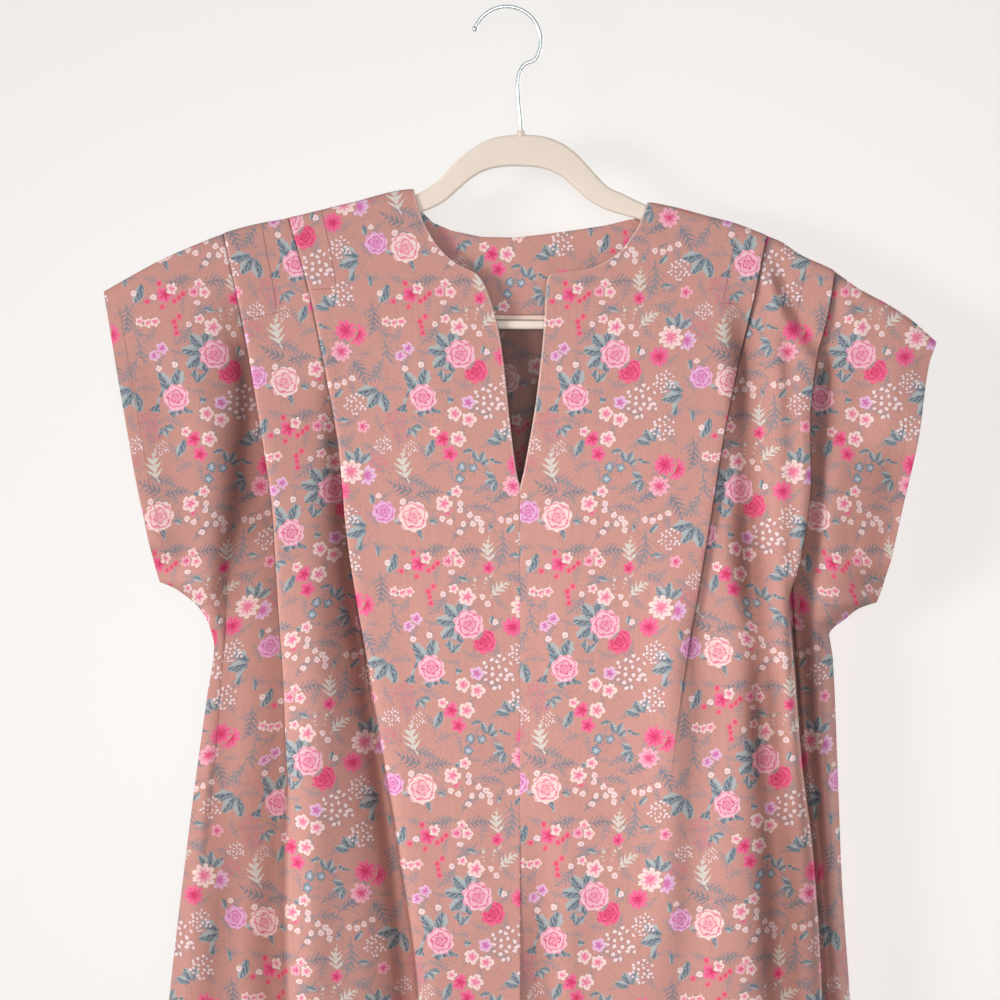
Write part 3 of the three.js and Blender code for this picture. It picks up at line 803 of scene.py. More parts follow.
@dataclass
class NeckFacing(ClothPiece):
    """The back neck facing, which lies inside the back with its right side to the front."""

    print_shift: Place = (64, 20)
    below_seam: float = 13
    inward: float = 1.7
    columns: int = 92
    rows: int = 26

    def grid(self) -> tuple[Array, Array]:
        """Lays the facing between the neck edge and its own lower edge.

        Returns:
            The points in millimetres and the cloth coordinates in metres, row by row.
        """
        count = len(BACK_NECK)
        way = np.linspace(0, count - 1, self.columns)
        upper = np.array([np.interp(way, range(count), [p[i] for p in BACK_NECK]) for i in (0, 1)])
        lower = np.array([np.interp(way, range(count), [p[i] for p in FACING_LOWER_EDGE]) for i in (0, 1)])
        share = np.linspace(0, 1, self.rows)[:, None]
        x = lerp(upper[0][None, :], lower[0][None, :], share)
        drop = lerp(upper[1][None, :], lower[1][None, :], share)
        drop = np.maximum(drop, SHOULDER_SEAM(x) + self.below_seam)
        stand = RIGHT_LINES.stand_off(BACK_DRAPE, x, drop) - self.inward
        x = np.concatenate([x[:1], x], axis=0)
        drop = np.concatenate([drop[:1] + 0.1, drop], axis=0)
        stand = np.concatenate([stand[:1] + 0.8, stand], axis=0)
        points = np.stack([x, stand, -drop], axis=2)
        shift_x, shift_up = self.print_shift
        return points, np.stack([x + shift_x, shift_up - drop], axis=2) * MM


def tone(red: int, green: int, blue: int) -> Colour:
    """A colour as the photograph shows it, as the cloth's own linear colour under the studio's light."""
    shown = [value / 255 for value in (red, green, blue)]
    linear = [v / 12.92 if v <= 0.04045 else ((v + 0.055) / 1.055) ** 2.4 for v in shown]
    return tuple(STUDIO_SHARE * value for value in linear)


class Value:
    """A number that a shader works out at each point, with the arithmetic of a number."""

    def __init__(self, graph: "Graph", socket: bpy.types.NodeSocket) -> None:
        """Holds the socket that gives the number."""
        self.graph = graph
        self.socket = socket

    def __add__(self, other: "Number") -> "Value":
        """The sum."""
        return self.graph.math("ADD", self, other)

    def __sub__(self, other: "Number") -> "Value":
        """The difference."""
        return self.graph.math("SUBTRACT", self, other)

    def __rsub__(self, other: float) -> "Value":
        """The difference from a constant."""
        return self.graph.math("SUBTRACT", other, self)

    def __mul__(self, other: "Number") -> "Value":
        """The product."""
        return self.graph.math("MULTIPLY", self, other)

    def __abs__(self) -> "Value":
        """The size without its sign."""
        return self.graph.math("ABSOLUTE", self)

    def times_plus(self, factor: "Number", addend: "Number") -> "Value":
        """The value times a factor plus another value."""
        return self.graph.math("MULTIPLY_ADD", self, factor, addend)


Number = Value | float


class Graph:
    """Writes shader nodes from formulas, each after the nodes that it reads."""

    def __init__(self, tree: bpy.types.NodeTree) -> None:
        """Starts on a node tree."""
        self.tree = tree

    def node(self, kind: str, *values: object, **settings: object) -> bpy.types.Node:
        """Adds a node.

        Args:
            kind: the node type, without its common prefix.
            values: what its inputs take in order: a value, a socket, a constant, or None for its own.
            settings: the node's settings.

        Returns:
            The node.
        """
        node = self.tree.nodes.new("ShaderNode" + kind)
        for name, setting in settings.items():
            setattr(node, name, setting)
        for socket, value in zip([s for s in node.inputs if s.enabled], values):
            self.feed(socket, value)
        return node

    def feed(self, socket: bpy.types.NodeSocket, value: object) -> None:
        """Links or sets one input.

        Args:
            socket: the input.
            value: a value, a socket, a constant, or None to leave the input alone.
        """
        if isinstance(value, Value):
            value = value.socket
        if isinstance(value, bpy.types.NodeSocket):
            self.tree.links.new(value, socket)
        elif value is not None:
            colour = socket.type == "RGBA" and len(value) == 3
            socket.default_value = (*value, 1) if colour else value

    def math(self, operation: str, *values: Number) -> Value:
        """One step of arithmetic."""
        return Value(self, self.node("Math", *values, operation=operation).outputs[0])

    def vector(self, operation: str, *values: object) -> bpy.types.Node:
        """One step of arithmetic on vectors."""
        return self.node("VectorMath", *values, operation=operation)

    def combine(self, *parts: Number) -> bpy.types.NodeSocket:
        """A vector from its parts."""
        return self.node("CombineXYZ", *parts).outputs[0]

    def split(self, vector: bpy.types.NodeSocket) -> list[Value]:
        """The parts of a vector."""
        return [Value(self, socket) for socket in self.node("SeparateXYZ", vector).outputs]

    def choose(self, share: Number, first: object, second: object, kind: str = "RGBA") -> bpy.types.NodeSocket:
        """A blend of two colours, or of two vectors.

        Args:
            share: how much of the second is taken.
            first: the first one.
            second: the second one.
            kind: RGBA or VECTOR.

        Returns:
            The blend.
        """
        mix = self.node("Mix", share, first, second, data_type=kind, clamp_factor=False)
        return next(socket for socket in mix.outputs if socket.enabled)

    def step(self, value: Value, start: float, end: float, soft: bool = True) -> Value:
        """A rise from 0 at start to 1 at end."""
        kind = "SMOOTHSTEP" if soft else "LINEAR"
        ramp = self.node("MapRange", value, start, end, 0.0, 1.0, interpolation_type=kind)
        return Value(self, ramp.outputs[0])

    def palette(self, value: Value, stops: Sequence[tuple[float, Colour]], kind: str = "LINEAR") -> object:
        """Colours along a value.

        Args:
            value: where to read.
            stops: pairs of place and colour.
            kind: LINEAR, or CONSTANT for one colour from each stop to the next.

        Returns:
            The colour's socket.
        """
        node = self.node("ValToRGB", value)
        ramp = node.color_ramp
        ramp.interpolation = kind
        while len(ramp.elements) < len(stops):
            ramp.elements.new(1.0)
        for element, (place, _) in zip(ramp.elements, stops):
            element.position = place
        for element, (_, colour) in zip(ramp.elements, stops):
            element.color = (*colour, 1)
        return node.outputs[0]

    def polar(self, x: Value, y: Value) -> tuple[Value, Value]:
        """The distance from the middle and the angle."""
        return self.math("SQRT", x.times_plus(x, y * y)), self.math("ARCTAN2", y, x)


@dataclass(frozen=True)
class Motif:
    """One drawn thing of the print: its place in the repeat, its size, the way it points and its kind."""

    x: float
    y: float
    size: float
    turn: float = 0.0
    kind: float = 0.0


class Hue(float, Enum):
    """The flower colours, as places along a palette."""

    CREAM = 0.02
    PINK = 0.08
    HOT = 0.14
    LILAC = 0.20
    SLATE = 0.26


REPEAT_ACROSS = 122.3
REPEAT_DOWN = 197.0
SCATTER_STEP = 19.0
SCATTER_SIZE = 9.5

ROSES = [
    Motif(9.1, 16.3, 9.2, 20, Hue.LILAC), Motif(30.2, 19.8, 12.0, -10, Hue.CREAM),
    Motif(78.8, 110.0, 9.8, 40, Hue.HOT), Motif(68.2, 98.0, 11.8, 15, Hue.PINK),
    Motif(40.1, 129.8, 10.8, 0, Hue.PINK),
]

DAISIES = [
    Motif(119.8, 88.0, 7.6, 0, Hue.LILAC), Motif(108.2, 85.6, 9.6, 0, Hue.CREAM),
    Motif(115.4, 182.0, 8.2, 0, Hue.HOT), Motif(103.8, 194.5, 8.2, 0, Hue.PINK),
    Motif(107.2, 179.0, 8.6, 0, Hue.HOT), Motif(100.2, 99.8, 7.8, 0, Hue.HOT),
]

BLOSSOMS = [
    Motif(54.6, 14.6, 4.6, 0, Hue.HOT), Motif(53.0, 10.2, 6.6, 0, Hue.CREAM),
    Motif(62.4, 1.2, 4.6, 0, Hue.CREAM), Motif(33.5, 54.0, 6.6, 0, Hue.HOT),
    Motif(38.8, 49.6, 4.4, 0, Hue.CREAM), Motif(58.8, 46.5, 4.4, 0, Hue.CREAM),
    Motif(54.6, 52.0, 4.4, 0, Hue.PINK), Motif(62.6, 52.3, 4.4, 0, Hue.CREAM),
    Motif(118.0, 52.4, 5.0, 0, Hue.PINK), Motif(14.7, 74.0, 3.8, 0, Hue.CREAM),
    Motif(20.4, 74.9, 3.8, 0, Hue.CREAM), Motif(26.0, 74.2, 3.8, 0, Hue.CREAM),
    Motif(67.7, 78.0, 7.0, 0, Hue.CREAM), Motif(30.3, 93.8, 4.8, 0, Hue.LILAC),
    Motif(24.4, 99.2, 4.5, 0, Hue.LILAC), Motif(83.7, 57.0, 4.8, 0, Hue.HOT),
    Motif(73.0, 133.4, 5.6, 0, Hue.LILAC), Motif(62.8, 141.4, 5.8, 0, Hue.CREAM),
    Motif(73.2, 145.9, 5.8, 0, Hue.CREAM), Motif(53.7, 160.0, 6.4, 0, Hue.HOT),
    Motif(58.4, 171.0, 6.0, 0, Hue.HOT), Motif(64.8, 160.0, 6.4, 0, Hue.CREAM),
    Motif(47.5, 154.6, 4.0, 0, Hue.CREAM), Motif(66.8, 180.4, 4.0, 0, Hue.SLATE),
    Motif(65.0, 189.2, 4.0, 0, Hue.SLATE), Motif(75.3, 181.0, 3.8, 0, Hue.SLATE),
    Motif(58.2, 72.0, 3.8, 0, Hue.CREAM),
]

# A leaf group's kind is how many leaves spread from its base, in tenths.
LEAVES = [
    Motif(7, 20, 13, 100, 0.1), Motif(28, 21, 18, 113, 0.3), Motif(40, 22, 7.5, 15, 0.1), Motif(63, 4, 8, 195, 0.1),
    Motif(18, 44, 17, 112, 0.1), Motif(62, 97, 17, 187, 0.5), Motif(54, 120, 10.5, -90, 0.3),
    Motif(38, 129, 20, 195, 0.5), Motif(10, 123, 17, 125, 0.3), Motif(52, 131, 10, 5, 0.1),
    Motif(43, 135, 14, 90, 0.3), Motif(48, 158, 15, 113, 0.1), Motif(66, 170, 9.5, -10, 0.1),
    Motif(79, 179, 10, -65, 0.3), Motif(121, 127, 17, 165, 0.3), Motif(105, 174, 17, 222, 0.3),
    Motif(113, 81, 13, -85, 0.3), Motif(84, 24, 9, 55, 0.1), Motif(97, 33, 9.5, -50, 0.1), Motif(98, 48, 9, -5, 0.1),
    Motif(93, 189, 10, 160, 0.3), Motif(122, 100, 9, 80, 0.1), Motif(3, 39, 9, 80, 0.1),
    Motif(98, 164, 12, -120, 0.3), Motif(60, 63, 9, 20, 0.1), Motif(86, 90, 8, 100, 0.1), Motif(30, 150, 9, 60, 0.3),
]

PALE_BUDS = [
    (23.2, 8.8), (34.3, 11.0), (5.8, 4.2), (64.6, 10.5), (64.8, 15.0), (71.7, 18.5), (77.0, 21.0), (66.8, 25.0),
    (73.6, 24.9), (79.6, 24.4), (79.8, 29.4), (51.2, 21.2), (57.0, 23.6), (24.9, 56.0), (10.7, 53.0), (27.6, 108.4),
    (39.4, 105.8), (87.6, 96.2), (57.2, 60.0), (50.3, 76.2), (78.8, 77.9), (82.6, 82.8), (94.4, 21.8), (99.8, 22.7),
    (105.2, 20.2), (111.0, 17.2), (64.0, 31.0),
]

RED_BERRIES = [
    (29.8, 45.7), (20.5, 59.2), (31.4, 63.2), (40.3, 59.0), (44.0, 56.4), (47.0, 53.5), (43.6, 70.2), (39.8, 74.2),
    (40.6, 78.2), (41.2, 82.6),
]

SPRAYS = [
    Motif(87.8, 132.7, 14, 0, Hue.CREAM), Motif(104.7, 118.5, 9, 0, Hue.CREAM), Motif(112.4, 36.2, 9, 0, Hue.CREAM),
    Motif(105.0, 152.6, 10, 0, Hue.CREAM), Motif(29.8, 166.8, 6, 0, Hue.CREAM), Motif(19.8, 147.0, 8, 0, Hue.PINK),
    Motif(23.5, 156.5, 7, 0, Hue.PINK), Motif(6.4, 176.0, 8, 0, Hue.PINK), Motif(10.0, 165.0, 7, 0, Hue.CREAM),
]

PALE_SPRIGS = [
    Motif(83.6, 44.5, 9, -93), Motif(77.5, 71.0, 8, -132), Motif(84.0, 69.5, 8, -85), Motif(91.0, 71.5, 8, -38),
    Motif(24.0, 180.0, 10.5, -98),
]

FERNS = [
    Motif(44.1, 44.3, 9, 170), Motif(62.6, 34.0, 9, -70), Motif(70.0, 43.9, 9, -5), Motif(24.0, 0.0, 11, 200),
    Motif(42.5, 1.5, 9, -8), Motif(107.0, 11.0, 11, 128), Motif(117.0, 11.0, 11, 60), Motif(90.4, -4.0, 10, -50),
    Motif(98.0, 3.0, 10, -25), Motif(5.8, 73.0, 10, 95),
]

MORE_FERNS = [
    Motif(80.0, 12.5, 9, 10), Motif(17.0, 87.5, 10, 60), Motif(14.7, 102.0, 12, 95), Motif(100.4, 62.0, 10, 30),
    Motif(62.0, 66.0, 8, 150), Motif(48.0, 84.0, 9, 130), Motif(34.0, 191.0, 10, 20), Motif(84.0, 195.0, 9, -20),
    Motif(95.0, 45.0, 12, 100), Motif(6.0, 112.0, 10, 130),
]


class FloralPrint:
    """The print, drawn in nodes over the cloth's own coordinates."""

    def __init__(self, graph: Graph, across: Value, down: Value) -> None:
        """Finds the place within the repeat, for four positions of the repeat's frame.

        Args:
            graph: the shader.
            across: millimetres across the cloth.
            down: millimetres down the cloth.
        """
        self.graph = graph
        self.windows = []
        ragged = None  # the same small waver of every drawn edge
        for left in (0.0, -REPEAT_ACROSS / 2):
            for top in (0.0, -REPEAT_DOWN / 2):
                column = graph.math("FLOOR", across.times_plus(1 / REPEAT_ACROSS, -left / REPEAT_ACROSS))
                x = column.times_plus(-REPEAT_ACROSS, across)
                y = graph.math("WRAP", column.times_plus(-REPEAT_DOWN / 2, down), top + REPEAT_DOWN, top)
                place = graph.combine(x, y, 0.0)
                if ragged is None:
                    noise = graph.node("TexNoise", place, 0.36, 1.0, 0.6, noise_dimensions="2D").outputs[1]
                    ragged = graph.vector("MULTIPLY_ADD", noise, (2.2, 2.2, 0), (-1.1, -1.1, 0)).outputs[0]
                self.windows.append(((left, top), graph.vector("ADD", place, ragged).outputs[0]))

    def drawn_on(self, colour: object) -> object:
        """Draws the whole print over a ground colour.

        Args:
            colour: the ground.

        Returns:
            The printed colour.
        """
        colour = self.vines(colour)
        mask = self.sprig(self.scattered(), 3.4, 0.46)
        colour = self.graph.choose(mask * 0.9, colour, tone(166, 148, 152))
        for ferns, shade in ((FERNS, tone(144, 138, 146)), (MORE_FERNS, tone(158, 146, 152))):
            mask = self.sprig(self.nearest(ferns, turned=True, grown=1.3), 3.6, 0.5)
            colour = self.graph.choose(mask, colour, shade)
        colour = self.leaves(colour)
        colour = self.sprays(colour)
        mask = self.sprig(self.nearest(PALE_SPRIGS, turned=True, grown=1.2), 2.4, 0.6)
        colour = self.graph.choose(mask, colour, tone(226, 216, 206))
        colour = self.buds(colour, RED_BERRIES, 2.5, tone(232, 84, 112), tone(246, 124, 146))
        colour = self.buds(colour, PALE_BUDS, 2.4, tone(240, 196, 200), tone(254, 230, 226))
        colour = self.flowers(colour, BLOSSOMS, 5)
        colour = self.flowers(colour, DAISIES, 9)
        return self.roses(colour)

    def framed(self, x: float, y: float) -> tuple[float, float, object]:
        """The copy of a place that lies deepest within one of the frames.

        Args:
            x: millimetres across the repeat.
            y: millimetres down the repeat.

        Returns:
            The copy's place and the frame's vector.
        """
        best = None
        for (left, top), vector in self.windows:
            columns = math.floor((x - left) / REPEAT_ACROSS)
            near_x = x - columns * REPEAT_ACROSS
            near_y = (y - columns * REPEAT_DOWN / 2 - top) % REPEAT_DOWN + top
            room = min(
                near_x - left, left + REPEAT_ACROSS - near_x, near_y - top, top + REPEAT_DOWN - near_y
            )
            if best is None or room > best[0]:
                best = (room, near_x, near_y, vector)
        return best[1:]

    def nearest(self, motifs: Sequence[Motif], turned: bool = False, grown: float = 1.0) -> object:
        """The own coordinates of whichever motif a point lies in, with the motif's kind as the third.

        Args:
            motifs: the motifs, each laid over the ones before it.
            turned: whether the way that they point counts.
            grown: how much larger they all are drawn.

        Returns:
            The vector, in units of the motif's size.
        """
        graph = self.graph
        chosen = None
        for motif in motifs:
            x, y, place = self.framed(motif.x, motif.y)
            scale = 1 / (motif.size * grown)
            if turned:
                c, s = math.cos(math.radians(motif.turn)) * scale, math.sin(math.radians(motif.turn)) * scale
                offset = graph.vector("SUBTRACT", place, (x, y, 0)).outputs[0]
                along = Value(graph, graph.vector("DOT_PRODUCT", offset, (c, s, 0)).outputs[1])
                beside = Value(graph, graph.vector("DOT_PRODUCT", offset, (-s, c, 0)).outputs[1])
                own = graph.combine(along, beside, motif.kind)
            else:
                shift = (-x * scale, -y * scale, motif.kind)
                own = graph.vector("MULTIPLY_ADD", place, (scale, scale, 1), shift).outputs[0]
            reach = Value(graph, graph.vector("LENGTH", own).outputs[1])
            inside = graph.math("LESS_THAN", reach, 1.06)
            chosen = graph.choose(inside, chosen or (9, 9, 0), own, "VECTOR")
        return chosen

    def vines(self, colour: object) -> object:
        """Draws two sets of thin winding stems over a colour.

        Args:
            colour: what lies below.

        Returns:
            The colour with the stems on it.
        """
        graph = self.graph
        x, y, _ = graph.split(self.windows[0][1])
        turn_x, turn_y = TURN / REPEAT_ACROSS, TURN / REPEAT_DOWN
        swing = graph.math("SINE", y * (3 * turn_y))
        upright = abs(graph.math("SINE", x.times_plus(2 * turn_x, swing * 1.7)))
        swing = graph.math("SINE", x * (2 * turn_x))
        level = abs(graph.math("SINE", y.times_plus(3 * turn_y, swing * 1.5)))
        mask = graph.step(graph.math("MINIMUM", upright, level), 0.035, 0.012)
        return graph.choose(mask * 0.7, colour, tone(166, 138, 140))

    def scattered(self) -> object:
        """Strews small things over the repeat, each turned its own way.

        Returns:
            The own coordinates of the nearest one.
        """
        graph = self.graph
        cells = graph.node(
            "TexVoronoi", self.windows[3][1], 1 / SCATTER_STEP, 0.0, 0.5, 2.0, 0.55, voronoi_dimensions="2D",
            feature="F1",
        )
        middle = graph.vector("SUBTRACT", self.windows[3][1], cells.outputs["Position"]).outputs[0]
        hue, _, _ = graph.split(cells.outputs["Color"])
        turn = hue * TURN
        c, s = (graph.math(wave, turn) * (1 / SCATTER_SIZE) for wave in ("COSINE", "SINE"))
        x, y, _ = graph.split(middle)
        return graph.combine(x.times_plus(c, y * s), y.times_plus(c, x * s * -1.0), 0.0)

    def leaves(self, colour: object) -> object:
        """Draws the grey-blue leaves with a pale half and a midrib over a colour.

        Args:
            colour: what lies below.

        Returns:
            The colour with the leaves on it.
        """
        graph = self.graph
        x, y, kind = graph.split(self.nearest(LEAVES, turned=True, grown=1.08))
        reach, angle = graph.polar(x, y)
        spread = graph.step(abs(angle) - kind * 3.9, -0.04, 0.0)
        bent = graph.math("WRAP", angle, 0.39, -0.39)
        along = reach * graph.math("COSINE", bent)
        beside = reach * graph.math("SINE", bent)
        teeth = graph.math("SINE", along * 30.0) * 0.02
        width = (along - 0.12) * (1.03 - along)
        edge = width.times_plus(1.25, teeth) - abs(beside)
        mask = graph.step(edge, 0.0, 0.05) * (1.0 - spread)
        half = graph.step(beside.times_plus(1.0, along * 0.12), 0.05, 0.2)
        rim = graph.step(edge, 0.09, 0.03)
        rib = graph.step(abs(beside), 0.035, 0.012)
        veins = graph.math("SINE", abs(beside).times_plus(52.0, along * -26.0))
        pale = graph.math("MAXIMUM", half * 0.62, rim * along * 0.8)
        pale = graph.math("MAXIMUM", pale, graph.step(veins, 0.3, 0.9) * 0.5)
        shade = graph.choose(pale, tone(112, 124, 138), tone(214, 217, 214))
        shade = graph.choose(rib * 0.6, shade, tone(92, 102, 116))
        return graph.choose(mask, colour, shade)

    def sprays(self, colour: object) -> object:
        """Draws loose clusters of small buds over a colour.

        Args:
            colour: what lies below.

        Returns:
            The colour with the clusters on it.
        """
        graph = self.graph
        own = self.nearest(SPRAYS)
        _, _, kind = graph.split(own)
        dots = graph.node(
            "TexVoronoi", own, 2.9, 0.0, 0.5, 2.0, 0.6, voronoi_dimensions="2D", feature="F1",
        )
        distance = Value(graph, dots.outputs["Distance"])
        place = dots.outputs["Position"]
        kept = graph.math("LESS_THAN", Value(graph, graph.vector("LENGTH", place).outputs[1]), 0.9)
        stems = graph.step(distance, 0.52, 0.4) * kept
        colour = graph.choose(stems * 0.3, colour, tone(150, 138, 144))
        mask = graph.step(distance, 0.34, 0.25) * kept
        pale = graph.palette(kind, [(0, tone(252, 224, 226)), (0.06, tone(232, 128, 142))], "CONSTANT")
        return graph.choose(mask * 0.95, colour, pale)

    def sprig(self, own: object, leaflets: float, width: float) -> Value:
        """The mask of a bent stem with paired leaflets.

        Args:
            own: the sprig's own coordinates.
            leaflets: how many pairs grow along half its length.
            width: how far they reach to each side.

        Returns:
            The mask.
        """
        graph = self.graph
        x, y, _ = graph.split(own)
        bent = abs((x * x).times_plus(-0.22, y))
        ends = (x * x).times_plus(-1.0, 1.0)
        rank = graph.math("FRACT", x.times_plus(leaflets, bent * (-0.9 * leaflets))) - 0.5
        tip = bent - ends * width
        leaf = graph.step(abs(rank).times_plus(1.0, tip * 0.9), 0.02, -0.1)
        stem = graph.step(bent, 0.045, 0.015)
        return graph.math("MAXIMUM", leaf, stem) * graph.step(ends, 0.0, 0.08)

    def buds(
        self, colour: object, places: Sequence[Place], size: float, dark: Colour, pale: Colour,
    ) -> object:
        """Draws round buds over a colour.

        Args:
            colour: what lies below.
            places: the buds' places in the repeat.
            size: their radius in millimetres.
            dark: the colour of the heart.
            pale: the colour of the edge.

        Returns:
            The colour with the buds on it.
        """
        graph = self.graph
        nearest = None
        for x, y in places:
            x, y, place = self.framed(x, y)
            reach = Value(graph, graph.vector("DISTANCE", place, (x, y, 0)).outputs[1])
            nearest = reach if nearest is None else graph.math("MINIMUM", nearest, reach)
        shade = graph.choose(graph.step(nearest, 0.2 * size, 0.8 * size), dark, pale)
        return graph.choose(graph.step(nearest, size, size - 0.5), colour, shade)

    def flowers(self, colour: object, motifs: Sequence[Motif], petals: int) -> object:
        """Draws open flowers with a dark heart over a colour.

        Args:
            colour: what lies below.
            motifs: the flowers.
            petals: how many petals each has.

        Returns:
            The colour with the flowers on it.
        """
        graph = self.graph
        x, y, kind = graph.split(self.nearest(motifs))
        reach, angle = graph.polar(x, y)
        lobe = abs(graph.math("COSINE", angle * (petals / 2)))
        rim = graph.math("POWER", lobe, 0.6).times_plus(0.4, 0.6)
        mask = graph.step(rim - reach, 0.0, 0.09)
        pale = graph.palette(kind, [
            (0, tone(255, 226, 220)), (0.05, tone(252, 184, 200)), (0.11, tone(248, 116, 158)),
            (0.17, tone(240, 196, 226)), (0.23, tone(126, 142, 156)),
        ], "CONSTANT")
        deep = graph.palette(kind, [
            (0, tone(246, 124, 162)), (0.05, tone(234, 84, 136)), (0.11, tone(226, 58, 108)),
            (0.17, tone(218, 112, 176)), (0.23, tone(206, 214, 222)),
        ], "CONSTANT")
        streak = lobe.times_plus(-0.35, reach)
        shade = graph.choose(graph.step(streak, -0.12, 0.5), deep, pale)
        return graph.choose(mask, colour, shade)

    def roses(self, colour: object) -> object:
        """Draws the full roses, with petals in a spiral, over a colour.

        Args:
            colour: what lies below.

        Returns:
            The colour with the roses on it.
        """
        graph = self.graph
        x, y, kind = graph.split(self.nearest(ROSES))
        reach, angle = graph.polar(x, y)
        scallop = graph.math("COSINE", angle.times_plus(8.0, kind * 40.0))
        mask = graph.step(scallop.times_plus(0.055, 0.93) - reach, 0.0, 0.06)
        wave = abs(graph.math("SINE", angle.times_plus(2.5, reach * 4.0)))
        turn = angle.times_plus(1 / TURN, reach * 3.4)
        petal = graph.math("FRACT", wave.times_plus(-0.42, turn))
        streaks = graph.math("SINE", angle.times_plus(22.0, reach * 6.0))
        pale = graph.palette(kind, [
            (0, tone(255, 226, 220)), (0.05, tone(254, 202, 214)), (0.11, tone(248, 112, 150)),
            (0.17, tone(242, 190, 224)),
        ], "CONSTANT")
        deep = graph.palette(kind, [
            (0, tone(240, 104, 140)), (0.05, tone(234, 88, 138)), (0.11, tone(220, 52, 100)),
            (0.17, tone(220, 96, 164)),
        ], "CONSTANT")
        depth = graph.step(streaks.times_plus(0.06, petal), 0.62, 0.02)
        outer = graph.step(reach, 1.05, 0.6)
        heart = graph.step(reach, 0.75, 0.1) * 0.5
        shade = graph.choose(graph.math("MAXIMUM", depth * outer.times_plus(0.45, 0.5), heart), pale, deep)
        return graph.choose(mask, colour, shade)


@dataclass(frozen=True)
class PrintedCotton:
    """Thin cotton with a dense print of roses, small blossoms, leaves and ferns on a dusty rose ground."""

    name: str
    ground: Colour = tone(211, 154, 143)
    wrong_side: bool = False
    roughness: float = 0.88
    warp_pitch: float = 0.52
    weft_pitch: float = 0.56
    inside_fade: float = 0.2
    # how bright the wrong side stays: painted shade for the inside of the dress
    inside_painted_shade: float = 0.42

    def make(self) -> bpy.types.Material:
        """Makes the material.

        Returns:
            The material.
        """
        material = bpy.data.materials.new(self.name)
        material.use_nodes = True
        tree = material.node_tree
        graph = Graph(tree)
        shader = tree.nodes["Principled BSDF"]
        u, v, _ = graph.split(graph.node("UVMap", uv_map="print").outputs[0])
        across, down = u * MM_PER_METRE, v * -MM_PER_METRE
        ground = self.ground_colour(graph, across, down)
        colour = FloralPrint(graph, across, down).drawn_on(ground)
        if self.wrong_side:
            # the wrong side: the print faded towards the ground, then darkened as painted shade
            faded = graph.choose(self.inside_fade, colour, ground)
            colour = graph.vector("SCALE", faded, self.inside_painted_shade).outputs[0]
        else:
            # painted light and shade of the folds, the edges and the hollows
            colour = self.paint_fold_light_and_shade(graph, colour, down)
        graph.feed(shader.inputs["Base Color"], colour)
        graph.feed(shader.inputs["Normal"], self.weave(graph, across, down))
        shader.inputs["Roughness"].default_value = self.roughness
        shader.inputs["Specular IOR Level"].default_value = 0.25
        return material

    def ground_colour(self, graph: Graph, across: Value, down: Value) -> object:
        """Colours the ground, with its faint slubs down and across.

        Args:
            graph: the shader.
            across: millimetres across the cloth.
            down: millimetres down the cloth.

        Returns:
            The colour.
        """
        upright = graph.node(
            "TexNoise", graph.combine(across * 0.9, down * 0.02, 0.0), 1.0, 2.0, noise_dimensions="2D",
        ).outputs[0]
        level = graph.node(
            "TexNoise", graph.combine(across * 0.05, down * 1.1, 0.0), 1.0, 1.0, noise_dimensions="2D",
        ).outputs[0]
        light = Value(graph, upright).times_plus(0.16, Value(graph, level).times_plus(0.1, 0.87))
        return graph.vector("SCALE", self.ground, light).outputs[0]

    def paint_fold_light_and_shade(self, graph: Graph, colour: object, down: Value) -> object:
        """Paints the light and shade of the folds, the edges and the hollows into the colour.

        Args:
            graph: the shader.
            colour: the print.
            down: millimetres down the cloth.

        Returns:
            The print with painted highlights along the fold edges and the neck and slit edges, painted shadow lines
            where a fold lies on the cloth, and painted shade in the hollows.
        """
        inner, outer, _ = graph.split(graph.node("UVMap", uv_map="folds").outputs[0])
        hollow, beside, _ = graph.split(graph.node("UVMap", uv_map="hollow").outputs[0])
        # a painted shadow line just past each fold's edge, and a painted highlight along the edge itself
        deep, fold_edge_highlight = None, None
        for past in (inner * MM_PER_METRE, outer * MM_PER_METRE):
            under = graph.step(past, 2.6, 0.2) * graph.step(past, -0.5, -0.1)
            edge = graph.step(abs(past + 0.9), 0.8, 0.2)
            deep = under if deep is None else graph.math("MAXIMUM", deep, under)
            fold_edge_highlight = edge if fold_edge_highlight is None else graph.math("MAXIMUM", fold_edge_highlight, edge)
        pressed = graph.step(down, 250.0, 90.0)
        # a painted highlight along the rolled neck and slit edges, above the slit's end
        rim = graph.step(abs(beside * MM_PER_METRE), 1.3, 0.5) * graph.step(down, 2.0, -2.0)
        colour = graph.choose(rim * 0.4, colour, tone(255, 226, 214))
        # the painted highlight and the painted shadow of the folds, only where the folds are pressed
        light = pressed.times_plus(fold_edge_highlight * 0.14, 1.0) - pressed * (deep * 0.6)
        # painted shade in the hollows, darker the deeper the cloth lies, a little more in green and blue
        hollow_painted_shade = graph.combine(*(hollow.times_plus(-loss, 1.0) for loss in (0.42, 0.47, 0.49)))
        return graph.vector("MULTIPLY", graph.vector("SCALE", colour, light).outputs[0], hollow_painted_shade).outputs[0]

    def weave(self, graph: Graph, across: Value, down: Value) -> object:
        """Raises the threads of a plain weave.

        Args:
            graph: the shader.
            across: millimetres across the cloth.
            down: millimetres down the cloth.

        Returns:
            The bumped normal.
        """
        over = graph.math("SINE", across * (TURN / self.warp_pitch))
        under = graph.math("SINE", down * (TURN / self.weft_pitch))
        bump = graph.node("Bump", 0.25, 0.00012)
        graph.feed(bump.inputs["Height"], over.times_plus(under, 0.0))
        return bump.outputs[0]


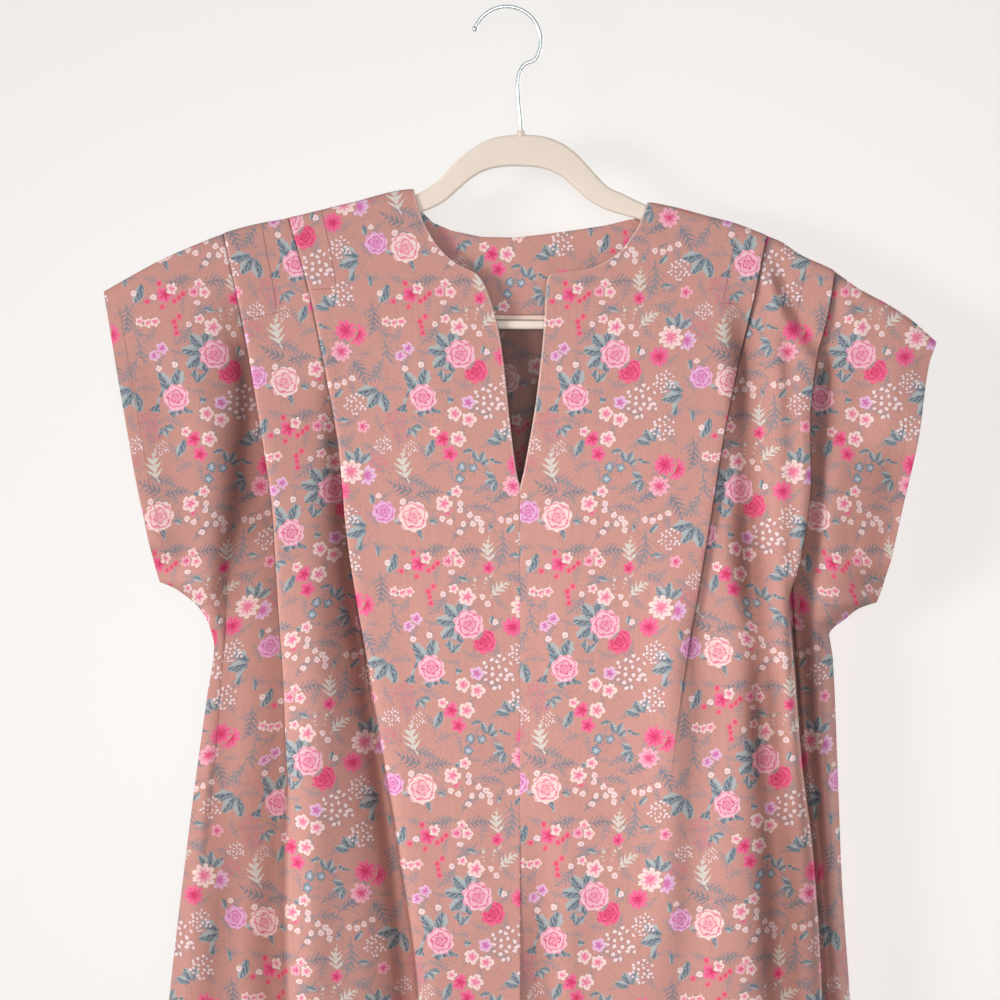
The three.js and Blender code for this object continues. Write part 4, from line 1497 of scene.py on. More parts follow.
@dataclass(frozen=True)
class Finish:
    """A plain-coloured finish with fine speckles and a bump of its own scale."""

    name: str
    colour: Colour
    roughness: float
    metal: float = 0.0
    speckle: float = 0.08
    grain: float = 3000.0
    bump: float = 0.0
    sheen: float = 0.0

    def make(self) -> bpy.types.Material:
        """Makes the material.

        Returns:
            The material.
        """
        material = bpy.data.materials.new(self.name)
        material.use_nodes = True
        graph = Graph(material.node_tree)
        shader = material.node_tree.nodes["Principled BSDF"]
        place = graph.node("TexCoord").outputs["Object"]
        noise = Value(graph, graph.node("TexNoise", place, self.grain, 2.0, noise_dimensions="3D").outputs[0])
        light = noise.times_plus(self.speckle, 1 - self.speckle / 2)
        graph.feed(shader.inputs["Base Color"], graph.vector("SCALE", self.colour, light).outputs[0])
        shader.inputs["Metallic"].default_value = self.metal
        graph.feed(shader.inputs["Roughness"], noise.times_plus(0.12, self.roughness - 0.06))
        shader.inputs["Sheen Weight"].default_value = self.sheen
        if self.bump:
            bump = graph.node("Bump", self.bump, 0.0003)
            graph.feed(bump.inputs["Height"], noise)
            graph.feed(shader.inputs["Normal"], bump.outputs[0])
        return material


THREAD = Finish("rose_thread", tone(150, 104, 95), 0.75, speckle=0.3, grain=900.0)
HEM_THREAD = Finish("pale_rose_thread", tone(200, 146, 134), 0.75, speckle=0.3, grain=900.0)
SEAM_CLOTH = Finish("seam_cloth", tone(205, 149, 138), 0.85, speckle=0.3, grain=900.0)
HEM_TAPE = Finish("hem_tape", tone(250, 222, 208), 0.85, speckle=0.2, grain=1500.0, bump=0.3)
FLOCK = Finish("cream_flock", tone(250, 233, 217), 0.95, speckle=0.16, grain=1600.0, bump=0.6, sheen=0.25)
CHROME = Finish("bright_wire", (0.80, 0.86, 0.87), 0.24, metal=0.82, speckle=0.05, grain=400.0)


def lay_skin(shape: bmesh.types.BMesh, rings: Sequence[Sequence[Vector]]) -> None:
    """Lays a skin through closed rings of points.

    Args:
        shape: the mesh that takes it.
        rings: the rings, in millimetres, all with the same number of points.
    """
    around, along = len(rings[0]), len(rings) - 1
    grid = bmesh.ops.create_grid(shape, x_segments=around, y_segments=along, size=0.5)["verts"]
    for vertex in grid:
        ring = rings[round((vertex.co.y + 0.5) * along)]
        vertex.co = ring[round((vertex.co.x + 0.5) * around) % around] * MM
    bmesh.ops.remove_doubles(shape, verts=grid, dist=1e-7)


def ball_rings(turn: Matrix, around: int, along: int) -> list[list[Vector]]:
    """The rings of a ball from pole to pole.

    Args:
        turn: what moves a ball of radius 1 into place, in millimetres.
        around: how many points each ring has.
        along: how many steps lead from pole to pole.

    Returns:
        The rings.
    """
    ways = [TURN * (k / around + 0.25) for k in range(around)]
    rings = []
    for step in range(along + 1):
        flat, up = math.sin(math.pi * step / along), math.cos(math.pi * step / along)
        rings.append([turn @ Vector((flat * math.cos(way), flat * math.sin(way), up)) for way in ways])
    return rings


class SmallPiece:
    """A small closed piece, shaped in one bmesh, that rides on the dress."""

    def __init__(self, name: str, slot: str) -> None:
        """Starts the piece's mesh."""
        self.name, self.slot = name, slot
        self.shape = bmesh.new()

    def skin(self, rings: Sequence[Sequence[Vector]]) -> None:
        """Lays a skin through closed rings of points.

        Args:
            rings: the rings, in millimetres, all with the same number of points.
        """
        lay_skin(self.shape, rings)

    def close(self) -> None:
        """Closes the open ends."""
        bmesh.ops.holes_fill(self.shape, edges=[edge for edge in self.shape.edges if edge.is_boundary], sides=0)

    def tube(self, path: Sequence[Vector], radii: Sequence[float], sides: int) -> None:
        """Lays a closed round tube along a path.

        Args:
            path: the points of its middle line, in millimetres.
            radii: its radius at each point.
            sides: how many sides it has.
        """
        rings, up = [], Vector((0, 1, 0))
        turns = [TURN * k / sides for k in range(sides)]
        for i, (point, radius) in enumerate(zip(path, radii)):
            way = (path[min(i + 1, len(path) - 1)] - path[max(i - 1, 0)]).normalized()
            up = (up - way * up.dot(way)).normalized()
            flat = way.cross(up)
            rings.append([point + (flat * math.cos(t) + up * math.sin(t)) * radius for t in turns])
        self.skin(rings)
        self.close()

    def place(self, finish: bpy.types.Material, node: str = "") -> bpy.types.Object:
        """Turns the mesh into a finished piece.

        Args:
            finish: its material.
            node: the CAD node that it stands for, if any.

        Returns:
            The piece.
        """
        bmesh.ops.recalc_face_normals(self.shape, faces=self.shape.faces[:])
        for face in self.shape.faces:
            face.smooth = True
        mesh = bpy.data.meshes.new(self.name)
        self.shape.to_mesh(mesh)
        self.shape.free()
        mesh.materials.append(finish)
        piece = bpy.data.objects.new(self.name, mesh)
        bpy.context.scene.collection.objects.link(piece)
        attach(piece, BODY)
        if node:
            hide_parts(node)
        log.info("%s: %d faces", self.name, len(mesh.polygons))
        return piece


class Line:
    """A line of places on the cloth, walked by its length."""

    def __init__(self, places: Sequence[Place]) -> None:
        """Measures the line."""
        self.places = np.array(places, float)
        self.run = np.concatenate([[0], np.cumsum(np.hypot(*np.diff(self.places, axis=0).T))])

    def at(self, run: float) -> Place:
        """The place (across, drop) after a length of the line."""
        return tuple(float(np.interp(run, self.run, self.places[:, i])) for i in (0, 1))


@dataclass(frozen=True)
class Stitch:
    """One stitch's size, in millimetres."""

    length: float = 2.2
    gap: float = 0.35
    radius: float = 0.3


class Sewing(SmallPiece):
    """Stitches or a tape on the face of a piece of cloth."""

    def __init__(self, name: str, on: ClothPiece, facing: Facing, stitch: Stitch = Stitch()) -> None:
        """Starts the sewing.

        Args:
            name: the piece's name.
            on: the cloth.
            facing: the side that is sewn.
            stitch: the size of a stitch.
        """
        super().__init__(name, on.slot)
        self.surface, self.facing, self.stitch = on.surface, facing, stitch

    def row(self, places: Sequence[Place], off: float = 0.5) -> None:
        """Sews a row of stitches.

        Args:
            places: (across, drop) along the row.
            off: how far the thread's middle stands off the middle of the cloth.
        """
        line, stitch, row = Line(places), self.stitch, bmesh.new()
        for start in np.arange(0, line.run[-1] - stitch.length, stitch.length + stitch.gap):
            one, up = self.surface.at(*line.at(start), self.facing)
            two, _ = self.surface.at(*line.at(start + stitch.length), self.facing)
            way = (two - one).normalized()
            side = up.cross(way).normalized()
            up = way.cross(side)
            turn = Matrix((side, up, way)).transposed().to_4x4()
            size = Matrix.Diagonal((stitch.radius, stitch.radius, stitch.length / 2, 1))
            middle = Matrix.Translation(one.lerp(two, 0.5) + up * off)
            lay_skin(row, ball_rings(middle @ turn @ size, 6, 6))
        mesh = bpy.data.meshes.new("row_of_stitches")
        row.to_mesh(mesh)
        row.free()
        self.shape.from_mesh(mesh)
        bpy.data.meshes.remove(mesh)

    def tape(self, places: Sequence[Place], width: float, step: float = 3.0) -> None:
        """Lays a narrow tape upward from a line, on the side that faces forward.

        Args:
            places: (across, drop) along the tape's lower edge.
            width: the tape's width.
            step: the length of its faces.
        """
        line = Line(places)
        profile = ((-0.3, 0.0), (-0.3, 0.75), (0.3, 0.95), (0.5 * width, 1.0), (width, 0.9), (width, 0.0))
        rings = []
        for run in np.arange(0, line.run[-1], step):
            x, drop = line.at(run)
            heights = [self.surface.at(x, min(drop - up, drop - 0.2), self.facing)[0].y - off for up, off in profile]
            rings.append([Vector((x, y, up - drop)) for y, (up, _) in zip(heights, profile)])
        self.skin(rings)
        self.close()


# Rows of stitches: the four tucks with the bars at their ends, and the tack below the slit.
RIGHT_STITCHES = [
    [(-135.2, 149), (-128.6, 179.3), (-124.2, 205.8)], [(-143, 207.3), (-124.2, 205.8)],
    [(-179.3, 160), (-169.8, 209.5), (-168, 224.2)], [(-192, 229.3), (-175, 225.6), (-158.8, 221.2)],
]
LEFT_STITCHES = [
    [(170.5, 163), (166.1, 179.3), (158.8, 216.8)], [(157.3, 216.8), (172, 217.6)],
    [(219.8, 189), (216.1, 210.2), (211.7, 235.2)], [(211.7, 235.2), (222, 236.6)],
    [(6, 357.5), (14.5, 357.5)],
]


@dataclass(frozen=True)
class HangerBody:
    """The flocked body of the hanger: two arms, the raised neck and the bar between the arms' ends."""

    right_end: float = -208.0
    left_end: float = 229.0
    thick: float = 6.0
    edge_round: float = 2.4
    below_seam: float = 3.8
    arm_deep: float = 14.0
    bar_top: float = 229.0
    bar_bottom: float = 235.5
    neck_top: tuple[Place, ...] = (
        (-69, 137.5), (-57, 131.5), (-49, 126), (-42, 118), (-34, 110), (-25, 103), (-14, 96.7), (-3, 93.6),
        (12, 92.6), (27, 93.7), (38, 97.3), (49, 104), (59, 114), (68, 124), (76, 131.5), (86, 136), (97, 141.5),
    )
    neck_under: tuple[Place, ...] = (
        (-64, 150), (-47, 143), (-36, 134), (-25, 124.5), (-14, 118.5), (-1, 116), (12, 115.8), (26, 117),
        (39, 122), (49, 130), (60, 140), (72, 147), (86, 151.5), (98, 155),
    )
    cone_across: float = 11.0
    cone: tuple[Place, ...] = ((88.8, 1.9), (89.1, 2.3), (90.4, 2.6), (91.8, 3.0), (93.4, 3.6), (95.5, 2.9))

    def arm(self, start: float, end: float, count: int, below: float) -> list[Place]:
        """Places along an arm, a given distance below the shoulder seam."""
        return [(float(x), float(SHOULDER_SEAM(x)) + below) for x in np.linspace(start, end, count)]

    def outer(self) -> list[Place]:
        """The outer outline, from the middle of the bar round to it again."""
        right, left, top = self.right_end, self.left_end, self.bar_bottom
        at_right, at_left = float(SHOULDER_SEAM(right)), float(SHOULDER_SEAM(left))
        return [
            (10, top), (right + 30, top), (right + 11, top), (right + 5, top - 3), (right + 1, top - 14),
            (right, at_right + 16), (right + 1.5, at_right + 8), *self.arm(right + 6, -82, 7, self.below_seam),
            *self.neck_top, *self.arm(112, left - 6, 7, self.below_seam), (left - 1.5, at_left + 8),
            (left, at_left + 16), (left - 1, top - 12), (left - 5, top - 3), (left - 11, top), (left - 30, top),
            (10, top),
        ]

    def hole(self) -> list[Place]:
        """The outline of the opening, from the middle of the bar round to it again."""
        right, left, top = self.right_end, self.left_end, self.bar_top
        below = self.below_seam + self.arm_deep
        return [
            (10, top), (right + 34, top), (right + 15, top), (right + 11, top - 4),
            *self.arm(right + 14, -80, 6, below), *self.neck_under, *self.arm(112, left - 14, 6, below),
            (left - 11, top - 4), (left - 15, top), (left - 34, top), (10, top),
        ]

    def ring(self, places: Sequence[Place], into: int) -> tuple[Array, Array]:
        """A smooth closed outline and the way at each point into the material.

        Args:
            places: the outline's places, the first again at the end.
            into: 1 where the material lies to the right of the way round, -1 to the left.

        Returns:
            The points and the unit ways, rows of across and drop.
        """
        line = np.array(places, float)
        x, drop, _ = smooth_section(line[None, :, 0], line[None, :, 1], [4] * (len(line) - 1))
        points = np.stack([x[0], drop[0]], axis=1)[:-1]
        along = np.roll(points, -1, axis=0) - np.roll(points, 1, axis=0)
        along /= np.linalg.norm(along, axis=1)[:, None]
        return points, into * np.stack([-along[:, 1], along[:, 0]], axis=1)

    def build(self, finish: bpy.types.Material) -> None:
        """Makes the body with its edges rounded, and a small cone where the wire goes in.

        Args:
            finish: its material.
        """
        piece = SmallPiece("flocked_hanger", "hanger_flock")
        half = self.thick / 2 - self.edge_round
        for places, into in ((self.outer(), 1), (self.hole(), -1)):
            points, inward = self.ring(places, into)
            rings = []
            for turn in np.radians(np.linspace(-90, 90, 13)):
                inset = self.edge_round * (1 - math.cos(turn))
                y = self.edge_round * math.sin(turn) + math.copysign(half, turn)
                rings.append([Vector((x, y, -drop)) for x, drop in points + inward * inset])
            piece.skin(rings)
        rims = [edge for edge in piece.shape.edges if edge.is_boundary]
        for side in (-1, 1):
            rim = [edge for edge in rims if edge.verts[0].co.y * side > 0]
            bmesh.ops.triangle_fill(piece.shape, edges=rim, use_beauty=True)
        piece.tube([Vector((self.cone_across, 0, -drop)) for drop, _ in self.cone], [r for _, r in self.cone], 20)
        piece.place(finish, "hanger_body")


@dataclass(frozen=True)
class Hook:
    """The hook of bright wire, with a ball at its tip."""

    wire: float = 3.2
    middle: Place = (0.5, 23.3)
    radius: float = 25.0
    ball: float = 4.7
    crook: tuple[float, float] = (160, -34)
    stem: tuple[Place, ...] = (
        (13.5, 41), (9.6, 47.5), (8.6, 56), (9.4, 70), (10.6, 84), (11, 90),
    )

    def build(self, finish: bpy.types.Material) -> None:
        """Bends the wire and sets the ball on its tip.

        Args:
            finish: its material.
        """
        piece = SmallPiece("wire_hook", "hook_wire")
        across, drop = self.middle
        turns = np.radians(np.linspace(*self.crook, 17))
        arc = [(across + self.radius * math.cos(t), drop - self.radius * math.sin(t)) for t in turns]
        line = np.array([*arc, *self.stem], float)
        x, drop, _ = smooth_section(line[None, :, 0], line[None, :, 1], [4] * (len(line) - 1))
        path = [Vector((a, 0, -d)) for a, d in zip(x[0], drop[0])]
        piece.tube(path, [self.wire / 2] * len(path), 20)
        piece.skin(ball_rings(Matrix.Translation(path[0]) @ Matrix.Scale(self.ball / 2, 4), 20, 14))
        piece.place(finish, "hanger_hook")


@dataclass(frozen=True)
class Studio:
    """A pale floor, a pale wall behind, soft light and the camera."""

    picture_scale: float = 0.735
    centre_across: float = -4.4
    centre_drop: float = 361.0
    distance: float = 2.6
    sensor: float = 36.0
    stage: float = 9.0
    floor_height: float = -1.5
    wall_behind: float = 0.055
    aim: tuple[float, float, float] = (0.02, 0, -0.5)
    sky: float = 0.30
    daylight: Colour = (1.0, 0.985, 0.965)
    cool_light: Colour = (0.98, 0.99, 1.0)
    wall_glow: Colour = (0.68, 0.66, 0.64)

    def build(self) -> None:
        """Sets the stage, the lights and the camera."""
        self.floor()
        self.wall()
        self.lights()
        self.camera()

    def plane(self, name: str, size: float, location: Vector, turn_x: float) -> bpy.types.Object:
        """A flat square of the stage.

        Args:
            name: the object's name.
            size: its side in metres.
            location: its centre.
            turn_x: its turn about X in radians.

        Returns:
            The square.
        """
        mesh = bpy.data.meshes.new(name)
        shape = bmesh.new()
        bmesh.ops.create_grid(shape, x_segments=1, y_segments=1, size=size / 2)
        shape.to_mesh(mesh)
        shape.free()
        square = bpy.data.objects.new(name, mesh)
        square.location = location
        square.rotation_euler = (turn_x, 0, 0)
        bpy.context.scene.collection.objects.link(square)
        return square

    def floor(self) -> None:
        """A plain pale floor below the hem."""
        square = self.plane("floor", self.stage, Vector((0, 0, self.floor_height)), 0)
        square.data.materials.append(self.paint("floor_paint", (0.8, 0.8, 0.79)))

    def wall(self) -> None:
        """A pale wall behind the dress, seen only from the front, with a little light of its own."""
        square = self.plane("wall", self.stage, Vector((0, self.wall_behind, 0.5)), math.pi / 2)
        paint = self.paint("wall_paint", (0.24, 0.238, 0.236))
        tree = paint.node_tree
        shader = tree.nodes["Principled BSDF"]
        shader.inputs["Emission Color"].default_value = (*self.wall_glow, 1)
        shader.inputs["Emission Strength"].default_value = 1.0
        output = tree.nodes["Material Output"]
        clear = tree.nodes.new("ShaderNodeBsdfTransparent")
        sides = tree.nodes.new("ShaderNodeNewGeometry")
        mix = tree.nodes.new("ShaderNodeMixShader")
        tree.links.new(sides.outputs["Backfacing"], mix.inputs[0])
        tree.links.new(shader.outputs[0], mix.inputs[1])
        tree.links.new(clear.outputs[0], mix.inputs[2])
        tree.links.new(mix.outputs[0], output.inputs["Surface"])
        square.data.materials.append(paint)
        square.visible_shadow = False
        square.visible_diffuse = False

    def paint(self, name: str, colour: Colour) -> bpy.types.Material:
        """A matt paint.

        Args:
            name: the material's name.
            colour: its colour.

        Returns:
            The material.
        """
        paint = bpy.data.materials.new(name)
        paint.use_nodes = True
        shader = paint.node_tree.nodes["Principled BSDF"]
        shader.inputs["Base Color"].default_value = (*colour, 1)
        shader.inputs["Roughness"].default_value = 0.9
        return paint

    def lights(self) -> None:
        """Soft daylight from the upper left, a wide fill and a pale sky."""
        world = bpy.data.worlds.new("sky")
        bpy.context.scene.world = world
        world.use_nodes = True
        sky = world.node_tree.nodes["Background"]
        sky.inputs["Color"].default_value = (0.96, 0.98, 1.0, 1)
        sky.inputs["Strength"].default_value = self.sky
        self.area("window", Vector((-2.0, -1.8, -0.45)), 1.0, 3.1, self.daylight, 34)
        self.area("fill", Vector((0.1, -3.2, -0.4)), 1.2, 2.1, self.cool_light, 30)
        self.area("rear", Vector((2.0, 1.7, -0.3)), 1.0, 6.0, self.daylight, 40)
        bpy.context.scene.view_settings.view_transform = "Standard"

    def area(
        self, name: str, location: Vector, size: float, power: float, colour: Colour, spread: float,
    ) -> None:
        """A square soft light that looks at the middle of the dress.

        Args:
            name: the light's name.
            location: its place.
            size: its side in metres.
            power: its power in watts.
            colour: its colour.
            spread: how widely it shines, in degrees.
        """
        data = bpy.data.lights.new(name, "AREA")
        data.spread = math.radians(spread)
        data.size, data.energy, data.color = size, power, colour
        light = bpy.data.objects.new(name, data)
        light.location = location
        light.rotation_euler = (Vector(self.aim) - location).to_track_quat("-Z", "Y").to_euler()
        bpy.context.scene.collection.objects.link(light)

    def camera(self) -> None:
        """A camera straight in front, with the photograph's frame at the hanger's plane."""
        data = bpy.data.cameras.new("camera")
        width = PHOTO_WIDTH * self.picture_scale * MM
        data.sensor_width = self.sensor
        data.lens = self.sensor * self.distance / width
        camera = bpy.data.objects.new("camera", data)
        camera.location = (self.centre_across * MM, -self.distance, -self.centre_drop * MM)
        camera.rotation_euler = (math.pi / 2, 0, 0)
        bpy.context.scene.collection.objects.link(camera)
        bpy.context.scene.camera = camera


RIGHT_TROUGHS = [
    # beyond the inner fold: a broad fall towards it, and a dark line under its edge
    Trough(7.0, ((255, -131, 0), (300, -126, 3), (370, -119, 7), (470, -106, 10), (575, -90, 10), (677, -77, 9),
                 (900, -62, 9)), 30, 24),
    Trough(7.0, ((255, -131, 2), (300, -126, 5), (370, -119, 8), (470, -106, 9), (575, -90, 7), (677, -77, 5),
                 (900, -62, 3)), 30, 6),
    # beyond the outer fold, where the sleeve turns under
    Trough(15.0, ((205, -199, 0), (247, -192, 5), (300, -186, 9), (350, -184, 9), (398, -181, 6),
                  (480, -176, 8), (640, -172, 9), (900, -168, 9)), 34, 20),
    Trough(15.0, ((205, -199, 1), (247, -192, 6), (300, -186, 9), (350, -182, 9), (398, -176, 5),
                  (480, -169, 3), (640, -164, 3), (900, -160, 3)), 34, 7),
    # from there down to the underarm
    Trough(15.0, ((285, -188, 0), (330, -191, 7), (370, -196, 10), (420, -204, 8), (466, -211, 4)), 8, 9),
]

RIGHT_CREASES = [
    Crease((-136, 240), (-124, 300), 5, 1.0),
    Crease((-138, 330), (-146, 760), 16, 5.0, 4),
    Crease((-168, 390), (-197, 455), 8, 2.5),
    Crease((-212, 560), (-232, 1100), 14, -5),
    Crease((-246, 700), (-262, 1150), 10, 3),
    Crease((-100, 800), (-112, 1200), 16, 5),
    Crease((-20, 900), (-24, 1230), 20, 6),
    Crease((-240, 250), (-210, 330), 10, 1.8),
    Crease((-262, 260), (-236, 400), 12, -1.6),
    Crease((-258, 385), (-222, 432), 7, 1.8),
    Crease((-60, 230), (-40, 330), 20, 1.2),
    Crease((-40, 390), (-20, 700), 24, 1.6),
]

LEFT_TROUGHS = [
    # beyond the inner fold
    Trough(7.0, ((225, 180, 0), (262, 171, 2), (300, 163, 3), (380, 151, 2), (437, 141, 1), (520, 128, 0),
                 (900, 112, 0)), 30, 8),
    # beyond the outer fold, with the deep gap under its end
    Trough(15.0, ((190, 243, 0), (240, 234, 3), (290, 229, 8), (340, 225, 9), (399, 218, 9), (432, 213, 14),
                  (475, 216, 18), (551, 221.5, 16), (640, 230, 9), (722, 235, 7), (1000, 250, 7)), 20, 8),
    Trough(15.0, ((250, 236, 0), (275, 237, 5), (310, 238, 5), (345, 236, 0), (400, 230, 0)), 6, 7),
]

# The soft folds of the back, growing to the hem, and the drags below the hanger's arms.
BACK_CREASES = [
    Crease((-172, 400), (-219, 1500), 22, 9), Crease((-98, 480), (-124, 1500), 26, 7),
    Crease((-20, 370), (-29, 1500), 30, 5.5), Crease((63, 440), (76, 1500), 25, 8),
    Crease((130, 530), (157, 1500), 26, 6), Crease((194, 400), (241, 1500), 20, 9),
    Crease((-136, 470), (-166, 1500), 13, -6, 3), Crease((-58, 560), (-72, 1500), 12, -5, -4),
    Crease((22, 520), (24, 1500), 14, -6, 5), Crease((100, 480), (116, 1500), 12, -5, 3),
    Crease((164, 500), (200, 1500), 12, -6, -4),
    Crease((-190, 190), (-120, 330), 11, 3.4, 6), Crease((205, 200), (130, 350), 12, 3.2, -6),
    Crease((-165, 200), (-92, 350), 8, -2.6, 6), Crease((182, 205), (104, 365), 8, -2.6, -6),
    Crease((-110, 175), (-60, 300), 12, 2, 3), Crease((140, 185), (90, 300), 12, 2.2, -3),
    Crease((-235, 250), (-205, 400), 9, -3.2), Crease((255, 270), (225, 400), 9, -3.2),
    Crease((-215, 440), (-150, 540), 11, 4, 4), Crease((232, 440), (165, 540), 11, 4, -4),
    Crease((-222, 470), (-160, 585), 8, -3, 4), Crease((238, 470), (175, 590), 8, -3, -4),
]

LEFT_CREASES = [
    # the valley along the middle of the strip between the two folds
    Crease((171, 225), (176, 430), 8, -9.0, 2),
    Crease((174, 380), (188, 560), 9, -9.0, 3),
    Crease((186, 500), (196, 730), 11, -8.0, 2),
    Crease((196, 222), (199, 420), 6, 3.2, 3),
    Crease((191, 194), (223, 262), 4.5, 5.5, -4), Crease((199, 189), (231, 253), 3.4, -3.6, -4),
    Crease((206, 240), (204, 440), 4.5, -2.6, 2),
    Crease((214, 270), (213, 430), 6, 2.6),
    Crease((202, 400), (206, 520), 7, 3.5),
    Crease((196, 463), (203, 512), 3, 1.6, 1),
    # the ridge at the foot of the inner fold
    Crease((122, 425), (118, 690), 15, 6.0),
    Crease((208, 480), (215, 760), 8, 3.5),
    Crease((203, 590), (214, 1100), 15, -10), Crease((276, 325), (262, 428), 20, -6),
    Crease((160, 560), (150, 1100), 22, 5),
    Crease((22, 640), (26, 1200), 12, -6),
    Crease((42, 640), (48, 1200), 14, 4),
    Crease((242, 200), (260, 242), 4.5, 2.2),
    Crease((258, 260), (246, 400), 10, -2.4),
    Crease((285, 262), (262, 410), 9, 1.8),
    Crease((60, 260), (40, 330), 18, 1.0),
    Crease((50, 390), (34, 700), 24, 1.6),
]


@dataclass(frozen=True)
class Dress:
    """The whole dress: two fronts, the back and the neck facing, with their sewing. Sizes in millimetres."""

    sleeve_hem: float = 9.0
    sleeve_row_ends: Place = (12, 6)
    skirt_hem: float = 22.0
    skirt_row_ends: Place = (3, 8)
    side_inset: float = 0.8
    side_cord: float = 0.7
    shoulder_inset: float = 0.75
    shoulder_cord: float = 0.45
    shoulder_sides: int = 10
    right_shoulder: tuple[float, float] = (-294.0, -68.6)
    left_shoulder: tuple[float, float] = (104.6, 313.5)
    back_hem: tuple[float, float] = (-286, 274)
    tape: float = 3.0

    def build(self) -> None:
        """Cuts the four pieces, then sews them."""
        cloth = PrintedCotton("printed_cotton").make()
        inside = PrintedCotton("printed_cotton_inside", wrong_side=True).make()
        thread, pale_thread, tape = THREAD.make(), HEM_THREAD.make(), HEM_TAPE.make()
        right, left, back, facing = self.pieces()
        for piece in (right, left, back, facing):
            piece.build([cloth, inside])
        for front, rows in ((right, RIGHT_STITCHES), (left, LEFT_STITCHES)):
            tucks = Sewing(front.name + "_tuck_stitches", front, Facing.FORWARD)
            for row in rows:
                tucks.row(row)
            hems = Sewing(front.name + "_hem_stitches", front, Facing.FORWARD)
            hems.row(self.sleeve_row(front.lines))
            outward, (near, far) = front.lines.side.value, self.skirt_row_ends
            ends = (CENTRE_SEAM_X + outward * near, float(front.lines.edge(HEM_DROP)) - outward * far)
            hems.row([(float(x), HEM_DROP - self.skirt_hem) for x in np.linspace(*ends, 12)])
            front.sewn([tucks.place(thread), hems.place(pale_thread)])
        hems = Sewing("whole_back_hem_stitches", back, Facing.BACKWARD)
        for lines in (RIGHT_LINES, LEFT_LINES):
            hems.row(self.sleeve_row(lines))
        hems.row([(float(x), HEM_DROP - self.skirt_hem) for x in np.linspace(*self.back_hem, 20)])
        seams = [self.side_seam(lines).place(pale_thread) for lines in (RIGHT_LINES, LEFT_LINES)]
        seam_cloth = SEAM_CLOTH.make()
        seams += [self.shoulder_seam(front, back).place(seam_cloth) for front in (right, left)]
        back.sewn([hems.place(pale_thread), *seams])
        edge = FACING_LOWER_EDGE[2:-2]
        stitches = Sewing("neck_facing_stitches", facing, Facing.FORWARD)
        stitches.row([(x, drop - self.tape - 0.6) for x, drop in edge], off=0.9)
        band = Sewing("neck_facing_tape", facing, Facing.FORWARD)
        band.tape(edge, self.tape)
        facing.sewn([stitches.place(thread), band.place(tape)])

    def pieces(self) -> tuple[ClothPiece, ...]:
        """Sets out the four pieces of cloth.

        Returns:
            The right front, the left front, the back and the facing.
        """
        right = FrontPanel(
            name="right_front", node="front_right", slot="dress_cloth", flat=(0.42, 1.13), area=0.36,
            facing=Facing.FORWARD, rests_on="flocked_hanger",
            underarm_stand=SmoothCurve([(0, 0), (0.3, 0), (0.5, -3.5), (0.8, -4), (1, -1), (1.3, 1.5), (2, 2)]),
            creases=RIGHT_CREASES, troughs=RIGHT_TROUGHS, print_shift=(111.4, 0), print_lean=-0.032,
        )
        left = FrontPanel(
            name="left_front", node="front_left", slot="dress_cloth", flat=(0.42, 1.13), area=0.34,
            facing=Facing.FORWARD, rests_on="flocked_hanger", lines=LEFT_LINES, neck_corner=195.5,
            inner_pleat=LEFT_INNER_PLEAT, outer_pleat=LEFT_OUTER_PLEAT,
            underarm_stand=SmoothCurve([(0, 0), (0.3, 0), (0.5, -2), (0.7, -2), (0.86, 5), (1.3, 6), (2, 4)]),
            creases=LEFT_CREASES, troughs=LEFT_TROUGHS, print_lean=0.041,
        )
        back = BackPanel(
            name="whole_back", node="back", slot="dress_cloth", flat=(0.62, 1.11), area=0.58,
            facing=Facing.BACKWARD, rests_on="flocked_hanger", creases=BACK_CREASES,
        )
        facing = NeckFacing(
            name="neck_facing", node="back_neck_facing", slot="facing_cloth", flat=(0.3, 0.1), area=0.018,
            facing=Facing.FORWARD, rests_on="whole_back",
        )
        return right, left, back, facing

    def sleeve_row(self, lines: SideLines) -> list[Place]:
        """The row of stitches along a sleeve's hem."""
        above, below = self.sleeve_row_ends
        drops = np.linspace(lines.edge.at[0] + above, lines.sleeve_corner - below, 20)
        return [(float(lines.edge(drop)) - lines.side.value * self.sleeve_hem, float(drop)) for drop in drops]

    def side_seam(self, lines: SideLines) -> SmallPiece:
        """Lays the cord of seam allowance that closes a side seam from inside.

        Args:
            lines: the side's lines.

        Returns:
            The seam.
        """
        seam = SmallPiece(f"{lines.side.name.lower()}_side_seam", "dress_cloth")
        drops = np.linspace(lines.underarm + 4, HEM_DROP - 1, 60)
        inset = lines.side.value * self.side_inset
        path = [Vector((float(lines.edge(drop)) - inset, 0, -drop)) for drop in drops]
        seam.tube(path, [self.side_cord] * len(path), 8)
        return seam

    def shoulder_seam(self, front: FrontPanel, back: BackPanel) -> SmallPiece:
        """Lays the seam allowance that closes a shoulder, flat between the front and the back.

        Args:
            front: the front on that side.
            back: the back.

        Returns:
            The seam.
        """
        side = front.lines.side
        seam = SmallPiece(f"{side.name.lower()}_shoulder_seam", "dress_cloth")
        ends = self.right_shoulder if side is Side.RIGHT else self.left_shoulder
        turns = [TURN * k / self.shoulder_sides for k in range(self.shoulder_sides)]
        rings = []
        for x in np.linspace(*ends, 90):
            drop = float(SHOULDER_SEAM(x)) + self.shoulder_inset
            near = front.surface.at(x, drop, Facing.FORWARD)[0].y
            far = back.surface.at(x, drop, Facing.BACKWARD)[0].y
            middle, half = (near + far) / 2, abs(far - near) / 2
            rings.append([
                Vector((x, middle + half * math.cos(t), self.shoulder_cord * math.sin(t) - drop)) for t in turns
            ])
        seam.skin(rings)
        seam.close()
        return seam


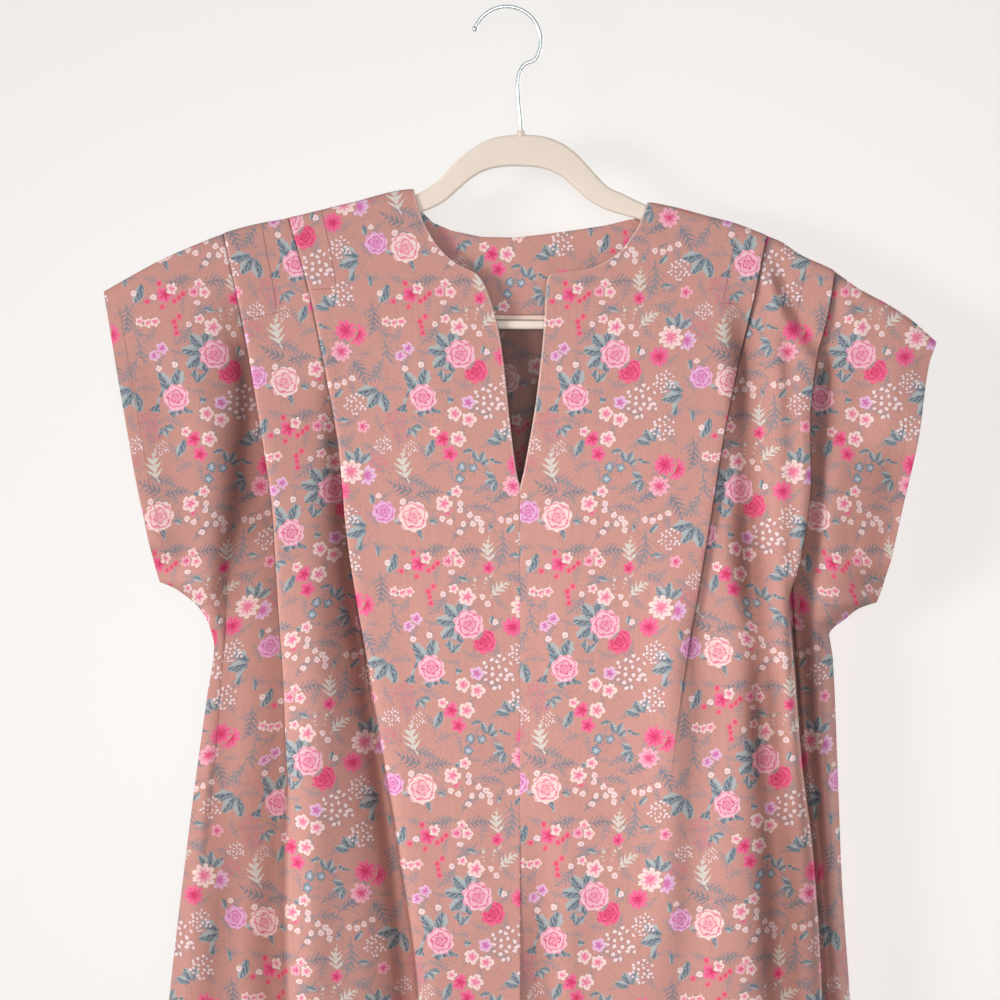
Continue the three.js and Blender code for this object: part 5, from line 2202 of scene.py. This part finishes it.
def main() -> None:
    """Builds the dress, the hanger and the studio."""
    logging.basicConfig(level=logging.INFO, format="%(message)s")
    Dress().build()
    HangerBody().build(FLOCK.make())
    Hook().build(CHROME.make())
    Studio().build()


if __name__ == "__main__":
    main()
